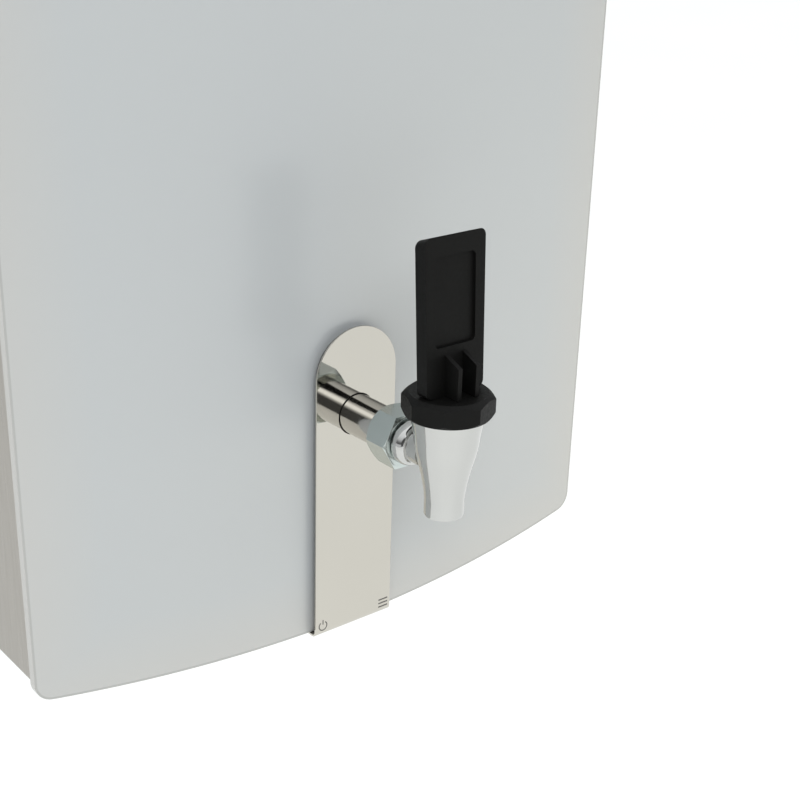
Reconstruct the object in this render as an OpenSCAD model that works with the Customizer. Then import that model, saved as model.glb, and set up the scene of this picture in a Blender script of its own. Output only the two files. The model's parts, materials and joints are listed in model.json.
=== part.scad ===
// A wall-mounted water boiler with a bowed glass front, a stainless casing and a lever tap.
// Millimetres. The wall is the plane y = 0, the front faces -Y and +Z is up.
// The origin is the centre of the four wall holes, on the wall plane.

/* [Case] */
// Width over the side panels
case_w = 310; // [258:1:372]
// Height over the side panels
case_h = 580; // [483:1:696]
// Depth from the wall to the front edge of the side panels
case_d = 178; // [148:1:214]
// Thickness of the stainless sheet
sheet_t = 1.2; // [1:0.1:1.5]
// Thickness of the back plate
back_t = 1.5; // [1.2:0.1:2]
// Height of the folded flanges
flange_h = 15; // [12:1:18]
// Outer radius of the folds of the casing
fold_r = 3; // [2:0.5:5]
// Play between nested sheets
nest_gap = 0.3; // [0.2:0.05:0.4]
// Distance of the wall holes from the sides
wall_hole_side = 25; // [22:1:32]
// Distance of the wall holes from the top and the bottom
wall_hole_end = 50; // [42:1:60]
// Radius of the wall holes
wall_hole_r = 4; // [3:0.5:5]

/* [Glass front] */
// Thickness of the glass
glass_t = 4; // [3:0.5:5]
// How far the glass passes each side panel
glass_over = 1; // [0.5:0.5:3]
// Radius of the bow across the width, at the front face
glass_bow_r = 1300; // [1085:5:1560]
// How far the glass's corners reach past the casing
glass_drop = 7.4; // [6.2:0.1:8.8]
// How much further the arched edge reaches at its middle
glass_arch = 11; // [9.2:0.1:13]
// Radius of the glass's corners
glass_corner_r = 12; // [10:0.5:14]
// Gap between the casing's front edge and the glass
front_gap = 1.6; // [1.5:0.1:2]
// Thickness of the bonding tape
tape_t = 1; // [0.8:0.1:1.2]
// Depth of the glass carrier's folded rim
carrier_rim = 18; // [15:1:21]

/* [Strip and buttons] */
// Width of the strip
strip_w = 44; // [42:0.5:52]
// Height of the strip
strip_h = 149.6; // [125:0.1:179]
// Thickness of the strip
strip_t = 1; // [0.8:0.1:1.2]
// How far the strip stands off the glass, with its thickness
strip_stand = 4.2; // [3.5:0.1:5]
// Outer radius of the strip's folds
strip_fold_r = 3; // [2.5:0.5:3.5]
// Depth of the strip's foot under the glass
strip_foot = 48; // [44:1:56]
// Air between the glass's lowest edge and the strip's foot
strip_air = 0.23; // [0.2:0.01:0.4]
// Radius of a push button
button_r = 4; // [3.4:0.1:4.6]
// Distance of each button from the centre line
button_x = 13.5; // [12:0.5:14]
// Travel of a push button
button_travel = 1; // [0.8:0.1:1.2]

/* [Tank] */
// Room beside the tank on each side
tank_side = 55; // [50:1:60]
// Room between the wall and the tank
tank_back = 28; // [26:1:30]
// Room between the tank and the casing's front edge
tank_front = 30; // [28:1:34]
// Height of the tank's floor over the casing's lower edge
tank_rise = 64; // [60:1:68]
// Room above the tank
tank_over = 226; // [220:1:240]
// Thickness of the tank's sheet
tank_t = 1; // [0.8:0.1:1.5]
// Corner radius of the tank
tank_r = 24; // [20:1:28]
// Width of the tank's rim
rim_w = 12; // [11:0.5:13]
// Thickness of the insulation
jacket_t = 12; // [10:1:13]
// Radius of the feed pipe
feed_r = 5; // [4:0.5:6]
// Radius of the overflow pipe
overflow_r = 7.5; // [6.5:0.5:8]
// Radius of the drain pipe
drain_r = 8; // [7:0.5:9]
// Radius of the inlet thread, a three-quarter-inch pipe thread
inlet_r = 13.2; // [11:0.1:15.8]
// Thickness of the inlet's locknut
locknut_h = 6; // [5:0.5:7]
// Length of the inlet thread under the casing
inlet_len = 18; // [15:1:21]

/* [Tap] */
// Height of the tap's tube over the casing's lower edge
tap_rise = 89; // [84:1:96]
// Distance of the tap's axis from the strip
tap_reach = 60.7; // [56:0.1:72]
// Radius of the tube
shank_r = 9.4; // [7.9:0.1:10.2]
// Width of the union nut across its flats
nut_flats = 24; // [22.5:0.5:28]
// Distance of the union nut from the strip
nut_start = 22.3; // [18.6:0.1:26]
// Length of the union nut
nut_len = 12.7; // [12.2:0.1:13.5]
// Radius of the barrel under the bonnet
barrel_r = 14.2; // [13.8:0.1:15]
// Radius of the spout
spout_r = 8.55; // [8.2:0.05:9.4]
// Radius of the spout's bore
spout_bore_r = 6.8; // [5.7:0.1:7.2]
// Reach of the spout below the tube's axis
spout_drop = 24.8; // [21:0.1:29]
// Width of the bonnet across its corners
bonnet_corners = 39; // [36:0.5:46]
// Radius of the valve stem
stem_r = 3.3; // [2.8:0.1:3.5]
// Radius of the lever's pin
pin_r = 1.5; // [1.3:0.1:1.6]
// Clearance around the lever's pin
pin_play = 0.05; // [0.03:0.01:0.09]
// Width of the lever
lever_w = 31; // [26:0.5:37]
// Height of the lever over the bonnet
lever_h = 64.4; // [54:0.1:77]
// Thickness of the lever's plate
lever_t = 6.2; // [6:0.1:7]
// Lean of the lever towards the wall, in degrees
lever_lean = 3.25; // [2:0.25:5]
// Reach of the lever's toes in front of the tap's axis
toe_reach = 14.3; // [12:0.1:16]

/* [Hidden] */
$fn = 64;

// Colours of the pieces, as seen
steel = [0.66, 0.65, 0.62];
mirror_steel = [0.79, 0.78, 0.75];
zinc = [0.72, 0.73, 0.74];
chrome = [0.78, 0.79, 0.8];
pale_glass = [0.77, 0.79, 0.79];
black = [0.06, 0.06, 0.06];
silicone = [0.75, 0.3, 0.2];
foam = [0.2, 0.2, 0.21];
brass = [0.75, 0.6, 0.3];
board_green = [0.08, 0.3, 0.16];

// Casing: heights of its ends, and the half-width of what nests inside it
z_low = -case_h / 2;
z_high = case_h / 2;
in_w = case_w / 2 - sheet_t - nest_gap;
in_high = z_high - sheet_t - nest_gap;
nest_r = fold_r - sheet_t - nest_gap;
front_y = -case_d;
rim_back_y = front_y + carrier_rim;
wall_x = case_w / 2 - wall_hole_side;
wall_z = case_h / 2 - wall_hole_end;

// Glass: the bow is a cylinder along Z, and the arched ends are cylinders along Y
glass_half = case_w / 2 + glass_over;
glass_edge_z = case_h / 2 + glass_drop;
glass_end_z = glass_edge_z + glass_arch;
arch_r = (glass_half * glass_half + glass_arch * glass_arch) / (2 * glass_arch);
arch_z = glass_end_z - arch_r;
glass_back_r = glass_bow_r - glass_t;
bow_y = front_y - front_gap + sqrt(glass_back_r * glass_back_r - glass_half * glass_half);
tape_r = glass_back_r - tape_t;
carrier_r = tape_r - sheet_t;
glass_face_y = bow_y - glass_bow_r;
glass_back_y = bow_y - glass_back_r;
carrier_back_y = bow_y - carrier_r;

// Strip, and the button unit that its foot carries
strip_y = glass_face_y - strip_stand;
strip_low = -glass_end_z - strip_air - strip_t;
strip_top = strip_low + strip_h;
strip_back_y = strip_y + strip_foot;
strip_lip = 13;
foot_screw_x = 13;
pod_wall = 2;
pod_w = strip_w - 1;
pod_low = strip_low + strip_t + 0.1;
pod_high = z_low - 0.2;
pod_front_y = glass_back_y + 2.4;
pod_back_y = strip_back_y - strip_fold_r;
pod_floor = pod_low + pod_wall;
button_y = (pod_front_y + pod_back_y) / 2;
button_proud = 1.5;
button_play = 0.2;
collar_r = button_r + 1.6;
collar_t = 1.4;
switch_w = 6;
switch_h = 3.5;
switch_tip = 0.8;
button_board_z = pod_floor + 10;
switch_low = button_board_z - switch_h - switch_tip;
board_t = 1.6;

// Tank
tank_w = case_w - 2 * tank_side;
tank_d = case_d - tank_back - tank_front;
tank_h = case_h - tank_rise - tank_over;
tank_y = -tank_back - tank_d / 2;
tank_low = z_low + tank_rise;
tank_high = tank_low + tank_h;
tank_front_y = -tank_back - tank_d;
rim_t = 1.5;
gasket_t = 2;
lid_t = 1.5;
lid_z = tank_high + gasket_t;
lid_top = lid_z + lid_t;
shelf_z = tank_low - jacket_t;
shelf_t = 2;
strap_z = tank_high - 90;
strap_h = 20;
strap_t = 1;
strap_foot = 20;
bracket_stud = [tank_w / 2 - 30, shelf_z + 25];
strap_stud_x = tank_w / 2 + jacket_t + strap_t + strap_foot / 2;
stud_r = 2;
stud_len = 10;
nut_h = 3.2;

// Heater in the tank's floor
heater_x = -25;
heater_flange_r = 42;
heater_hole_r = 27;
heater_stud_r = 3;
heater_pcd_r = 35;
heater_flange_t = 4;
heater_gasket_t = 1.5;
heater_flange_low = tank_low - heater_gasket_t - heater_flange_t;
drain_x = 45;
side_x = case_w / 2 - 27;
feed_x = tank_w / 2 - 20;
pipe_run_z = tank_high + 41;

// Fill valve
valve_x = -side_x;
inlet_neck_r = inlet_r - 0.2;
inlet_free = inlet_len - locknut_h - 0.3;
valve_y = tank_y + 38;
valve_sleeve_r = 7;
valve_bore_r = 5.3;
valve_seat_z = z_low + 22;
valve_body_z = z_low + 33;
valve_top_z = z_low + 60;
plunger_h = 22;
plunger_lift = 2.5;
spigot_z = z_low + 26;
spigot_end_y = valve_y - 24;
feed_bend_r = 12;
overflow_bend_r = 20;
gland_x = case_w / 2 - 60;
gland_y = -50;
gland_r = 10;

// Control board near the top of the back plate
pcb_w = 160;
pcb_h = 100;
pcb_z = z_high - 120;
standoff_h = 12;
pcb_y = -back_t - standoff_h;

// Tap
tap_z = z_low + tap_rise;
tap_y = strip_y - tap_reach;
shank_hole_r = shank_r + 0.4;
grommet_r = shank_r + 4.4;
shank_bore_r = shank_r - 2.4;
nut_y = strip_y - nut_start;
nut_grip = 7;
shank_end_y = nut_y - nut_grip;
tail_washer_t = 1.5;
tail_collar_t = 1.8;
tail_collar_r = shank_r - 0.4;
tail_neck_r = shank_r - 2.2;
tail_y = shank_end_y - tail_washer_t;
tail_groove = 1.5;
boss_y = nut_y - nut_len - tail_groove;
boss_r = shank_r + 0.8;
shank_collar_r = shank_r + 4.6;
shank_collar_t = 3;
shank_washer_t = 1.5;
backnut_t = 6;
barrel_z = tap_z + 20.9;
neck_r = barrel_r - 1.7;
neck_h = 5.5;
chamber_r = neck_r - 3;
seat_z = tap_z - 4.5;
seat_r = 5;
inlet_bore_r = 4.4;
bonnet_z = barrel_z + 0.3;
bonnet_h = 9.8;
bonnet_top = bonnet_z + bonnet_h;
seal_t = 1.6;
seal_z = barrel_z + neck_h;
stem_play = 0.1;
lever_play = 0.2;
lever_low = bonnet_top + lever_play;
pin_z = bonnet_top + 4.7;
pin_len = 16;
pin_back = 2.4;
pin_front = lever_t - pin_back;
spring_seat_z = tap_z + 5.5;
spring_collar_t = 1.4;
seat_gap = 0.1;
cup_h = spring_seat_z - spring_collar_t - seat_z - seat_gap;

// Fasteners
screw_r = 2;
screw_hole_r = 2.2;
screw_head_r = 3.6;
screw_head_h = 1.8;
screw_len = 7;

// Casing screws: a place on the outside of the sheet, and the turn that points +Z away from it
side_screw_z = case_h / 2 - 90;
top_screw_x = case_w / 2 - 55;
base_screw_y = -70;
front_screw_x = in_w - 40;
case_screw_places = concat(
    [for (s = [-1, 1], z = [-1, 0, 1]) [[s * case_w / 2, -flange_h / 2, z * side_screw_z], [0, s * 90, 0]]],
    [for (s = [-1, 1]) [[s * top_screw_x, -flange_h / 2, z_high], [0, 0, 0]]],
    [for (s = [-1, 1]) [[s * case_w / 2, base_screw_y, z_low + flange_h / 2], [0, s * 90, 0]]],
    [for (s = [-1, 1]) [[s * front_screw_x, front_y + 9, z_low], [180, 0, 0]]],
    [for (s = [-1, 1]) [[s * foot_screw_x, strip_back_y + strip_lip / 2, z_low - strip_t], [180, 0, 0]]]
);

// Nuts on the back plate's studs: [x, z, thickness of the sheet that they hold]
stud_places = concat(
    [for (s = [-1, 1]) [s * bracket_stud[0], bracket_stud[1], shelf_t]],
    [for (s = [-1, 1]) [s * strap_stud_x, strap_z + strap_h / 2, strap_t]]
);
heater_stud_places = [for (a = [45:90:315]) [heater_x + heater_pcd_r * cos(a), tank_y + heater_pcd_r * sin(a)]];
lid_screw_places = concat(
    [for (s = [-1, 1], t = [-1, 0, 1]) [s * (tank_w + rim_w) / 2, tank_y + t * (tank_d / 2 - 22)]],
    [for (s = [-1, 1], t = [-1, 0, 1]) [t * (tank_w / 2 - 35), tank_y + s * (tank_d + rim_w) / 2]]
);
standoff_places = [for (s = [-1, 1], t = [-1, 1]) [s * (pcb_w / 2 - 6), pcb_z + t * (pcb_h / 2 - 6)]];
probe_x = feed_x / 2;
thermistor_x = 0;
cutout_x = 2 - feed_x / 2;

// A plate in the XZ plane, from y to y - t
module plate_xz(y, t) {
    translate([0, y, 0]) rotate([90, 0, 0]) linear_extrude(t) children();
}

// A profile in the YZ plane, drawn out along X about the centre
module profile_yz(w) {
    translate([-w / 2, 0, 0]) rotate([90, 0, 90]) linear_extrude(w) children();
}

// A cylinder along -Y that starts at y
module rod_y(x, y, z, r, len) {
    translate([x, y, z]) rotate([90, 0, 0]) cylinder(r = r, h = len);
}

// A block with round vertical edges, centred on x and y
module round_block(w, d, r, h) {
    linear_extrude(h) {
        square([w - 2 * r, d], center = true);
        square([w, d - 2 * r], center = true);
        for (sx = [-1, 1], sy = [-1, 1]) {
            translate([sx * (w / 2 - r), sy * (d / 2 - r)]) circle(r);
        }
    }
}

// A rectangle whose two upper corners are round
module arched_rect(w, low, high, r) {
    translate([-w / 2, low]) square([w, high - low - r]);
    translate([-w / 2 + r, low]) square([w - 2 * r, high - low]);
    for (s = [-1, 1]) {
        translate([s * (w / 2 - r), high - r]) circle(r);
    }
}

// A rectangle with four round corners
module round_rect(w, low, high, r) {
    translate([-w / 2, low + r]) square([w, high - low - 2 * r]);
    translate([-w / 2 + r, low]) square([w - 2 * r, high - low]);
    for (s = [-1, 1], z = [low + r, high - r]) {
        translate([s * (w / 2 - r), z]) circle(r);
    }
}

// A plate outline with straight sides and a half-round top
module arch_outline(w, low, high) {
    translate([-w / 2, low]) square([w, high - low - w / 2]);
    translate([0, high - w / 2]) circle(w / 2);
}

// A hexagonal prism, given across its flats
module hex(flats, h) {
    cylinder(r = flats / (2 * cos(30)), h = h, $fn = 6);
}

// The solid inside the bow, at one of its radii
module bow_solid(r) {
    translate([0, bow_y, -case_h]) cylinder(r = r, h = 2 * case_h, $fn = 256);
}

// A pan-head screw with its head above z = 0
module pan_screw(len) {
    difference() {
        union() {
            cylinder(r1 = screw_head_r, r2 = screw_head_r - 0.8, h = screw_head_h);
            translate([0, 0, -len]) cylinder(r = screw_r, h = len + 0.1);
        }
        translate([0, 0, screw_head_h - 1]) hex(2.5, 2);
    }
}

// The holes of the casing screws, cut through whatever sheet they meet
module case_screw_holes() {
    for (p = case_screw_places) {
        translate(p[0]) rotate(p[1]) translate([0, 0, -screw_len - 1]) cylinder(r = screw_hole_r, h = screw_len + 2);
    }
}

// A quarter of a tube bend, from one straight run to the next, around corner b
module quarter_bend(b, u, v, bend_r, r) {
    n = cross(u, v);
    c = b - u * bend_r + v * bend_r;
    multmatrix([
        [-v[0], u[0], n[0], c[0]],
        [-v[1], u[1], n[1], c[1]],
        [-v[2], u[2], n[2], c[2]],
        [0, 0, 0, 1]
    ]) rotate_extrude(angle = 90) translate([bend_r, 0]) circle(r);
}

// A straight run from p to q
module run(p, q, r) {
    d = q - p;
    len = norm(d);
    translate(p) rotate([0, acos(d[2] / len), atan2(d[1], d[0])]) cylinder(r = r, h = len);
}

// A pipe's solid along a path whose corners are square, with a bend at each
module pipe_solid(path, bend_r, r) {
    last = len(path) - 1;
    dirs = [for (i = [0:last - 1]) (path[i + 1] - path[i]) / norm(path[i + 1] - path[i])];
    for (i = [0:last - 1]) {
        p = i == 0 ? path[0] : path[i] + dirs[i] * bend_r;
        q = i == last - 1 ? path[last] : path[i + 1] - dirs[i] * bend_r;
        run(p, q, r);
    }
    for (i = [1:last - 1]) {
        quarter_bend(path[i], dirs[i - 1], dirs[i], bend_r, r);
    }
}

// An open coil of round wire from z = 0 to z = h
module coil(r, wire_r, h, turns, seg = 20, sides = 8) {
    steps = turns * seg;
    rise = (h - 2 * wire_r) / steps;
    points = [
        for (i = [0:steps], j = [0:sides - 1])
        let (a = 360 * i / seg, b = 360 * j / sides, s = r + wire_r * cos(b))
        [s * cos(a), s * sin(a), wire_r + rise * i + wire_r * sin(b)]
    ];
    skin = [
        for (i = [0:steps - 1], j = [0:sides - 1])
        let (k = (j + 1) % sides)
        [i * sides + j, i * sides + k, (i + 1) * sides + k, (i + 1) * sides + j]
    ];
    start = [for (j = [sides - 1:-1:0]) j];
    end = [for (j = [0:sides - 1]) steps * sides + j];
    polyhedron(points = points, faces = concat(skin, [start], [end]), convexity = 6);
}

// A point on a cubic curve
function cubic(a, b, c, d, t) =
    a * pow(1 - t, 3) + 3 * b * t * pow(1 - t, 2) + 3 * c * t * t * (1 - t) + d * pow(t, 3);

// The glass's outline: straight sides, arched ends and round corners
module glass_outline() {
    // Each corner's circle passes the side and the arch by a hair, so that they always cross
    pass = 0.01;
    corner_x = glass_half - glass_corner_r + pass;
    corner_reach = arch_r - glass_corner_r + pass;
    corner_z = arch_z + sqrt(corner_reach * corner_reach - corner_x * corner_x);
    touch = [0, arch_z] + [corner_x, corner_z - arch_z] * arch_r / corner_reach;
    waste = glass_end_z + 1;
    difference() {
        intersection() {
            square([2 * glass_half, 2 * glass_end_z], center = true);
            translate([0, arch_z]) circle(arch_r, $fn = 256);
            translate([0, -arch_z]) circle(arch_r, $fn = 256);
        }
        for (sx = [0, 1], sz = [0, 1]) {
            mirror([sx, 0]) mirror([0, sz]) difference() {
                polygon([
                    [corner_x, corner_z], [glass_half + 1, corner_z], [glass_half + 1, waste],
                    [touch[0], waste], touch
                ]);
                translate([corner_x, corner_z]) circle(glass_corner_r);
            }
        }
    }
}

// Casing

module back_plate() {
    flange_low = z_low + flange_h + 3;
    color(zinc) difference() {
        union() {
            plate_xz(0, back_t) arched_rect(2 * in_w, z_low, in_high, nest_r);
            plate_xz(0, flange_h) difference() {
                arched_rect(2 * in_w, flange_low, in_high, nest_r);
                translate([-in_w + back_t, flange_low - 1])
                    square([2 * (in_w - back_t), in_high - back_t - flange_low + 1]);
            }
            for (p = stud_places) {
                rod_y(p[0], -back_t + 0.1, p[1], stud_r, stud_len);
            }
        }
        for (sx = [-1, 1], sz = [-1, 1]) {
            rod_y(sx * wall_x, 1, sz * wall_z, wall_hole_r, back_t + 2);
        }
        case_screw_holes();
    }
}

module case_wrap() {
    color(steel) difference() {
        plate_xz(0, case_d) difference() {
            arched_rect(case_w, z_low, z_high, fold_r);
            arched_rect(case_w - 2 * sheet_t, z_low - 1, z_high - sheet_t, fold_r - sheet_t);
        }
        case_screw_holes();
    }
}

module base_panel() {
    back = -back_t - 0.2;
    color(steel) difference() {
        translate([-in_w, front_y + 2, z_low]) cube([2 * in_w, back - front_y - 2, flange_h]);
        translate([-in_w + sheet_t, front_y, z_low + sheet_t])
            cube([2 * (in_w - sheet_t), back - front_y - sheet_t, flange_h]);
        translate([-in_w - 1, front_y, z_low + sheet_t]) cube([2 * in_w + 2, carrier_rim + 2, flange_h]);
        translate([valve_x, valve_y, z_low - 1]) cylinder(r = inlet_r + 0.3, h = 4);
        translate([side_x, tank_y, z_low - 1]) cylinder(r = overflow_r + 0.3, h = 4);
        translate([drain_x, tank_y, z_low - 1]) cylinder(r = drain_r + 0.3, h = 4);
        translate([gland_x, gland_y, z_low - 1]) cylinder(r = gland_r + 0.2, h = 4);
        case_screw_holes();
    }
}

// Bowed sheet behind the glass, with a rim folded back all round
module front_carrier() {
    low = z_low + sheet_t;
    depth = 40;
    color(steel) difference() {
        intersection() {
            plate_xz(rim_back_y, depth) arched_rect(2 * in_w, low, in_high, nest_r);
            bow_solid(tape_r);
        }
        intersection() {
            plate_xz(rim_back_y + 1, depth)
                translate([-in_w + sheet_t, low + sheet_t])
                square([2 * (in_w - sheet_t), in_high - low - 2 * sheet_t]);
            bow_solid(carrier_r);
        }
        rod_y(0, front_y + 5, tap_z, grommet_r + 0.2, depth);
        case_screw_holes();
    }
}

// Bonding tape between the carrier and the glass, two long pads and two short ones
module glass_tape() {
    pad_w = 20;
    edge = 4;
    side_z = z_high - edge - pad_w - 4;
    end_w = in_w - edge - pad_w - 4;
    color(foam) difference() {
        intersection() {
            union() {
                for (s = [-1, 1]) {
                    translate([s * (in_w - edge - pad_w / 2) - pad_w / 2, front_y - 40, -side_z])
                        cube([pad_w, 45, 2 * side_z]);
                    translate([-end_w, front_y - 40, s * (z_high - edge - pad_w / 2) - pad_w / 2])
                        cube([2 * end_w, 45, pad_w]);
                }
            }
            bow_solid(glass_back_r);
        }
        bow_solid(tape_r);
    }
}

module glass_front() {
    color(pale_glass) difference() {
        intersection() {
            plate_xz(front_y, 40) glass_outline();
            bow_solid(glass_bow_r);
        }
        bow_solid(glass_back_r);
        rod_y(0, front_y, tap_z, grommet_r + 0.2, 40);
    }
}

// Flat pad between the strip and the glass, set in from the strip's edges
module strip_spacer() {
    inset = 2.5;
    lift = 6;
    color(foam) difference() {
        plate_xz(glass_face_y, strip_stand - strip_t)
            arch_outline(strip_w - 2 * inset, strip_low + lift, strip_top - inset);
        rod_y(0, glass_face_y + 5, tap_z, grommet_r + 0.5, 20);
    }
}

// Side view of the strip: its face, its foot under the glass, and the lip that is screwed to the base
module strip_profile() {
    r = strip_fold_r;
    t = strip_t;
    translate([strip_y, strip_low + r]) square([t, strip_h - strip_w / 2 - r]);
    translate([strip_y + r, strip_low]) square([strip_foot - 2 * r, t]);
    translate([strip_back_y - t, strip_low + r]) square([t, z_low - strip_low - r]);
    translate([strip_back_y - t, z_low - t]) square([strip_lip + t, t]);
    for (s = [0, 1]) {
        y = s == 0 ? strip_y + r : strip_back_y - r;
        translate([y, strip_low + r]) mirror([s, 0]) intersection() {
            difference() {
                circle(r);
                circle(r - t);
            }
            translate([-r, -r]) square(r);
        }
    }
}

module tap_strip() {
    color(mirror_steel) difference() {
        union() {
            profile_yz(strip_w) strip_profile();
            rod_y(0, strip_y + strip_t, strip_top - strip_w / 2, strip_w / 2, strip_t);
        }
        rod_y(0, strip_y + 5, tap_z, shank_hole_r, 10);
        for (s = [-1, 1]) {
            translate([s * button_x, button_y, strip_low - 1]) cylinder(r = button_r + 0.4, h = 4);
        }
        case_screw_holes();
    }
}

module shank_grommet() {
    color(black) difference() {
        union() {
            rod_y(0, carrier_back_y + 0.15, tap_z, grommet_r, carrier_back_y + 0.15 - strip_y - strip_t);
            rod_y(0, carrier_back_y + 1.65, tap_z, grommet_r + 3, 1.5);
        }
        rod_y(0, 0, tap_z, shank_r + 0.05, case_d + 60);
    }
}

module case_screws() {
    color(zinc) for (p = case_screw_places) {
        translate(p[0]) rotate(p[1]) pan_screw(screw_len);
    }
}

module stud_nuts() {
    color(zinc) for (p = stud_places) {
        difference() {
            translate([p[0], -back_t - p[2], p[1]]) rotate([90, 0, 0]) hex(7, nut_h);
            rod_y(p[0], 0, p[1], stud_r, 20);
        }
    }
}

// Button unit

module button_pod() {
    d = pod_back_y - pod_front_y;
    post = 3;
    color(black) difference() {
        union() {
            difference() {
                translate([-pod_w / 2, pod_front_y, pod_low]) cube([pod_w, d, pod_high - pod_low]);
                translate([-pod_w / 2 + pod_wall, pod_front_y + pod_wall, pod_floor])
                    cube([pod_w - 2 * pod_wall, d - 2 * pod_wall, pod_high - pod_floor + 1]);
            }
            for (sx = [-1, 1], y = [pod_front_y + pod_wall, pod_back_y - pod_wall - post]) {
                translate([sx * (pod_w / 2 - pod_wall - post / 2) - post / 2, y, pod_floor - 0.5])
                    cube([post, post, button_board_z - pod_floor + 0.5]);
            }
        }
        for (s = [-1, 1]) {
            translate([s * button_x, button_y, pod_low - 1]) cylinder(r = button_r + button_play, h = pod_wall + 2);
        }
    }
}

module button_board() {
    w = pod_w - 2 * pod_wall - 0.4;
    d = pod_back_y - pod_front_y - 2 * pod_wall - 0.4;
    color(board_green) translate([-w / 2, button_y - d / 2, button_board_z]) cube([w, d, board_t]);
}

module button_switches() {
    color(foam) for (s = [-1, 1]) {
        translate([s * button_x, button_y, 0]) {
            translate([-switch_w / 2, -switch_w / 2, button_board_z - switch_h]) cube([switch_w, switch_w, switch_h]);
            translate([0, 0, switch_low]) cylinder(r = 1.7, h = switch_tip + 0.1);
        }
    }
}

// A push button: its cap faces down through the strip's foot, and its collar rests on the pod's floor
module push_button(x) {
    color(black) translate([x, button_y, 0]) {
        translate([0, 0, strip_low - button_proud]) cylinder(r = button_r, h = pod_floor - strip_low + button_proud + 0.1);
        translate([0, 0, pod_floor + 0.05]) cylinder(r = collar_r, h = collar_t);
        translate([0, 0, pod_floor]) cylinder(r = 1.6, h = switch_low - pod_floor - button_travel - 0.05);
    }
}

module standby_button() {
    push_button(-button_x);
}

module function_button() {
    push_button(button_x);
}

// The button's return spring, around the switch, from the collar to the board
module button_spring(x) {
    low = pod_floor + 0.05 + collar_t;
    color(zinc) translate([x, button_y, low]) coil(collar_r - 0.65, 0.25, button_board_z - low, 4, 16, 6);
}

module standby_spring() {
    button_spring(-button_x);
}

module function_spring() {
    button_spring(button_x);
}

// Tank

module tank_block(grow, low, high) {
    translate([0, tank_y, low]) round_block(tank_w + 2 * grow, tank_d + 2 * grow, tank_r + grow, high - low);
}

module tank_shell() {
    color(steel) difference() {
        union() {
            tank_block(0, tank_low, tank_high);
            tank_block(rim_w, tank_high - rim_t, tank_high);
            for (p = heater_stud_places) {
                translate([p[0], p[1], tank_low - 14]) cylinder(r = heater_stud_r, h = 14.1);
            }
        }
        tank_block(-tank_t, tank_low + tank_t, tank_high + 1);
        translate([heater_x, tank_y, tank_low - 1]) cylinder(r = heater_hole_r, h = 4);
        translate([drain_x, tank_y, tank_low - 1]) cylinder(r = drain_r - 1.5, h = 4);
        rod_y(0, tank_front_y + 10, tap_z, shank_r + 0.1, 20);
        for (p = lid_screw_places) {
            translate([p[0], p[1], tank_high - 5]) cylinder(r = screw_hole_r, h = 10);
        }
    }
}

// The openings that the lid and its cap share: [x, y offset, radius in the lid]
module lid_holes(low, h) {
    translate([0, tank_y, low]) {
        translate([probe_x, 0, 0]) cylinder(r = 9.2, h = h);
        translate([thermistor_x, 0, 0]) cylinder(r = 4.2, h = h);
        translate([-feed_x, 0, 0]) cylinder(r = feed_r + 0.2, h = h);
        translate([feed_x, 0, 0]) cylinder(r = overflow_r + 0.2, h = h);
    }
    for (p = lid_screw_places) {
        translate([p[0], p[1], low]) cylinder(r = screw_hole_r, h = h);
    }
}

module tank_lid() {
    color(steel) difference() {
        tank_block(rim_w, lid_z, lid_top);
        lid_holes(lid_z - 1, lid_t + 2);
    }
}

module lid_gasket() {
    color(silicone) difference() {
        tank_block(rim_w, tank_high, lid_z);
        tank_block(0, tank_high - 1, lid_z + 1);
        lid_holes(tank_high - 1, gasket_t + 2);
    }
}

module lid_screws() {
    color(zinc) for (p = lid_screw_places) {
        translate([p[0], p[1], lid_top]) pan_screw(8);
    }
}

module tank_jacket() {
    color(foam) difference() {
        tank_block(jacket_t, shelf_z, tank_high - rim_t);
        tank_block(0.05, tank_low, tank_high);
        translate([heater_x, tank_y, shelf_z - 1]) cylinder(r = heater_flange_r + 2, h = jacket_t + 2);
        translate([drain_x, tank_y, shelf_z - 1]) cylinder(r = drain_r + 6, h = jacket_t + 2);
        rod_y(0, tank_front_y + 1, tap_z, shank_collar_r + 1, jacket_t + 2);
        for (p = lid_screw_places) {
            translate([p[0], p[1], tank_high - 10]) cylinder(r = screw_head_r, h = 12);
        }
    }
}

module jacket_cap() {
    color(foam) difference() {
        translate([0, tank_y, lid_top]) round_block(tank_w - 4, tank_d - 4, tank_r - 2, jacket_t);
        translate([probe_x, tank_y, lid_top - 1]) cylinder(r = 18, h = jacket_t + 2);
        translate([thermistor_x, tank_y, lid_top - 1]) cylinder(r = 12, h = jacket_t + 2);
        translate([cutout_x, tank_y, lid_top - 1]) cylinder(r = 17, h = jacket_t + 2);
        for (s = [-1, 1]) {
            translate([s * feed_x, tank_y, lid_top - 1]) cylinder(r = overflow_r + 5, h = jacket_t + 2);
        }
    }
}

// The bracket that carries the tank: an upright leg, a shelf with a window, and two side webs
module tank_bracket() {
    reach = tank_back + tank_d + jacket_t - back_t;
    half = tank_w / 2;
    leg = 50;
    web = 16;
    color(zinc) difference() {
        union() {
            translate([-half, -back_t - shelf_t, shelf_z - shelf_t]) cube([2 * half, shelf_t, leg]);
            translate([-half, -back_t - reach, shelf_z - shelf_t]) cube([2 * half, reach, shelf_t]);
            for (s = [-1, 1]) {
                translate([s * (half - shelf_t / 2) - shelf_t / 2, -back_t - reach, shelf_z - web])
                    cube([shelf_t, reach, web]);
            }
        }
        translate([-half + 12, -back_t - reach + 14, shelf_z - 20]) cube([2 * half - 24, reach - 32, 30]);
        for (s = [-1, 1]) {
            rod_y(s * bracket_stud[0], 0, bracket_stud[1], screw_hole_r, 20);
        }
    }
}

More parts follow.
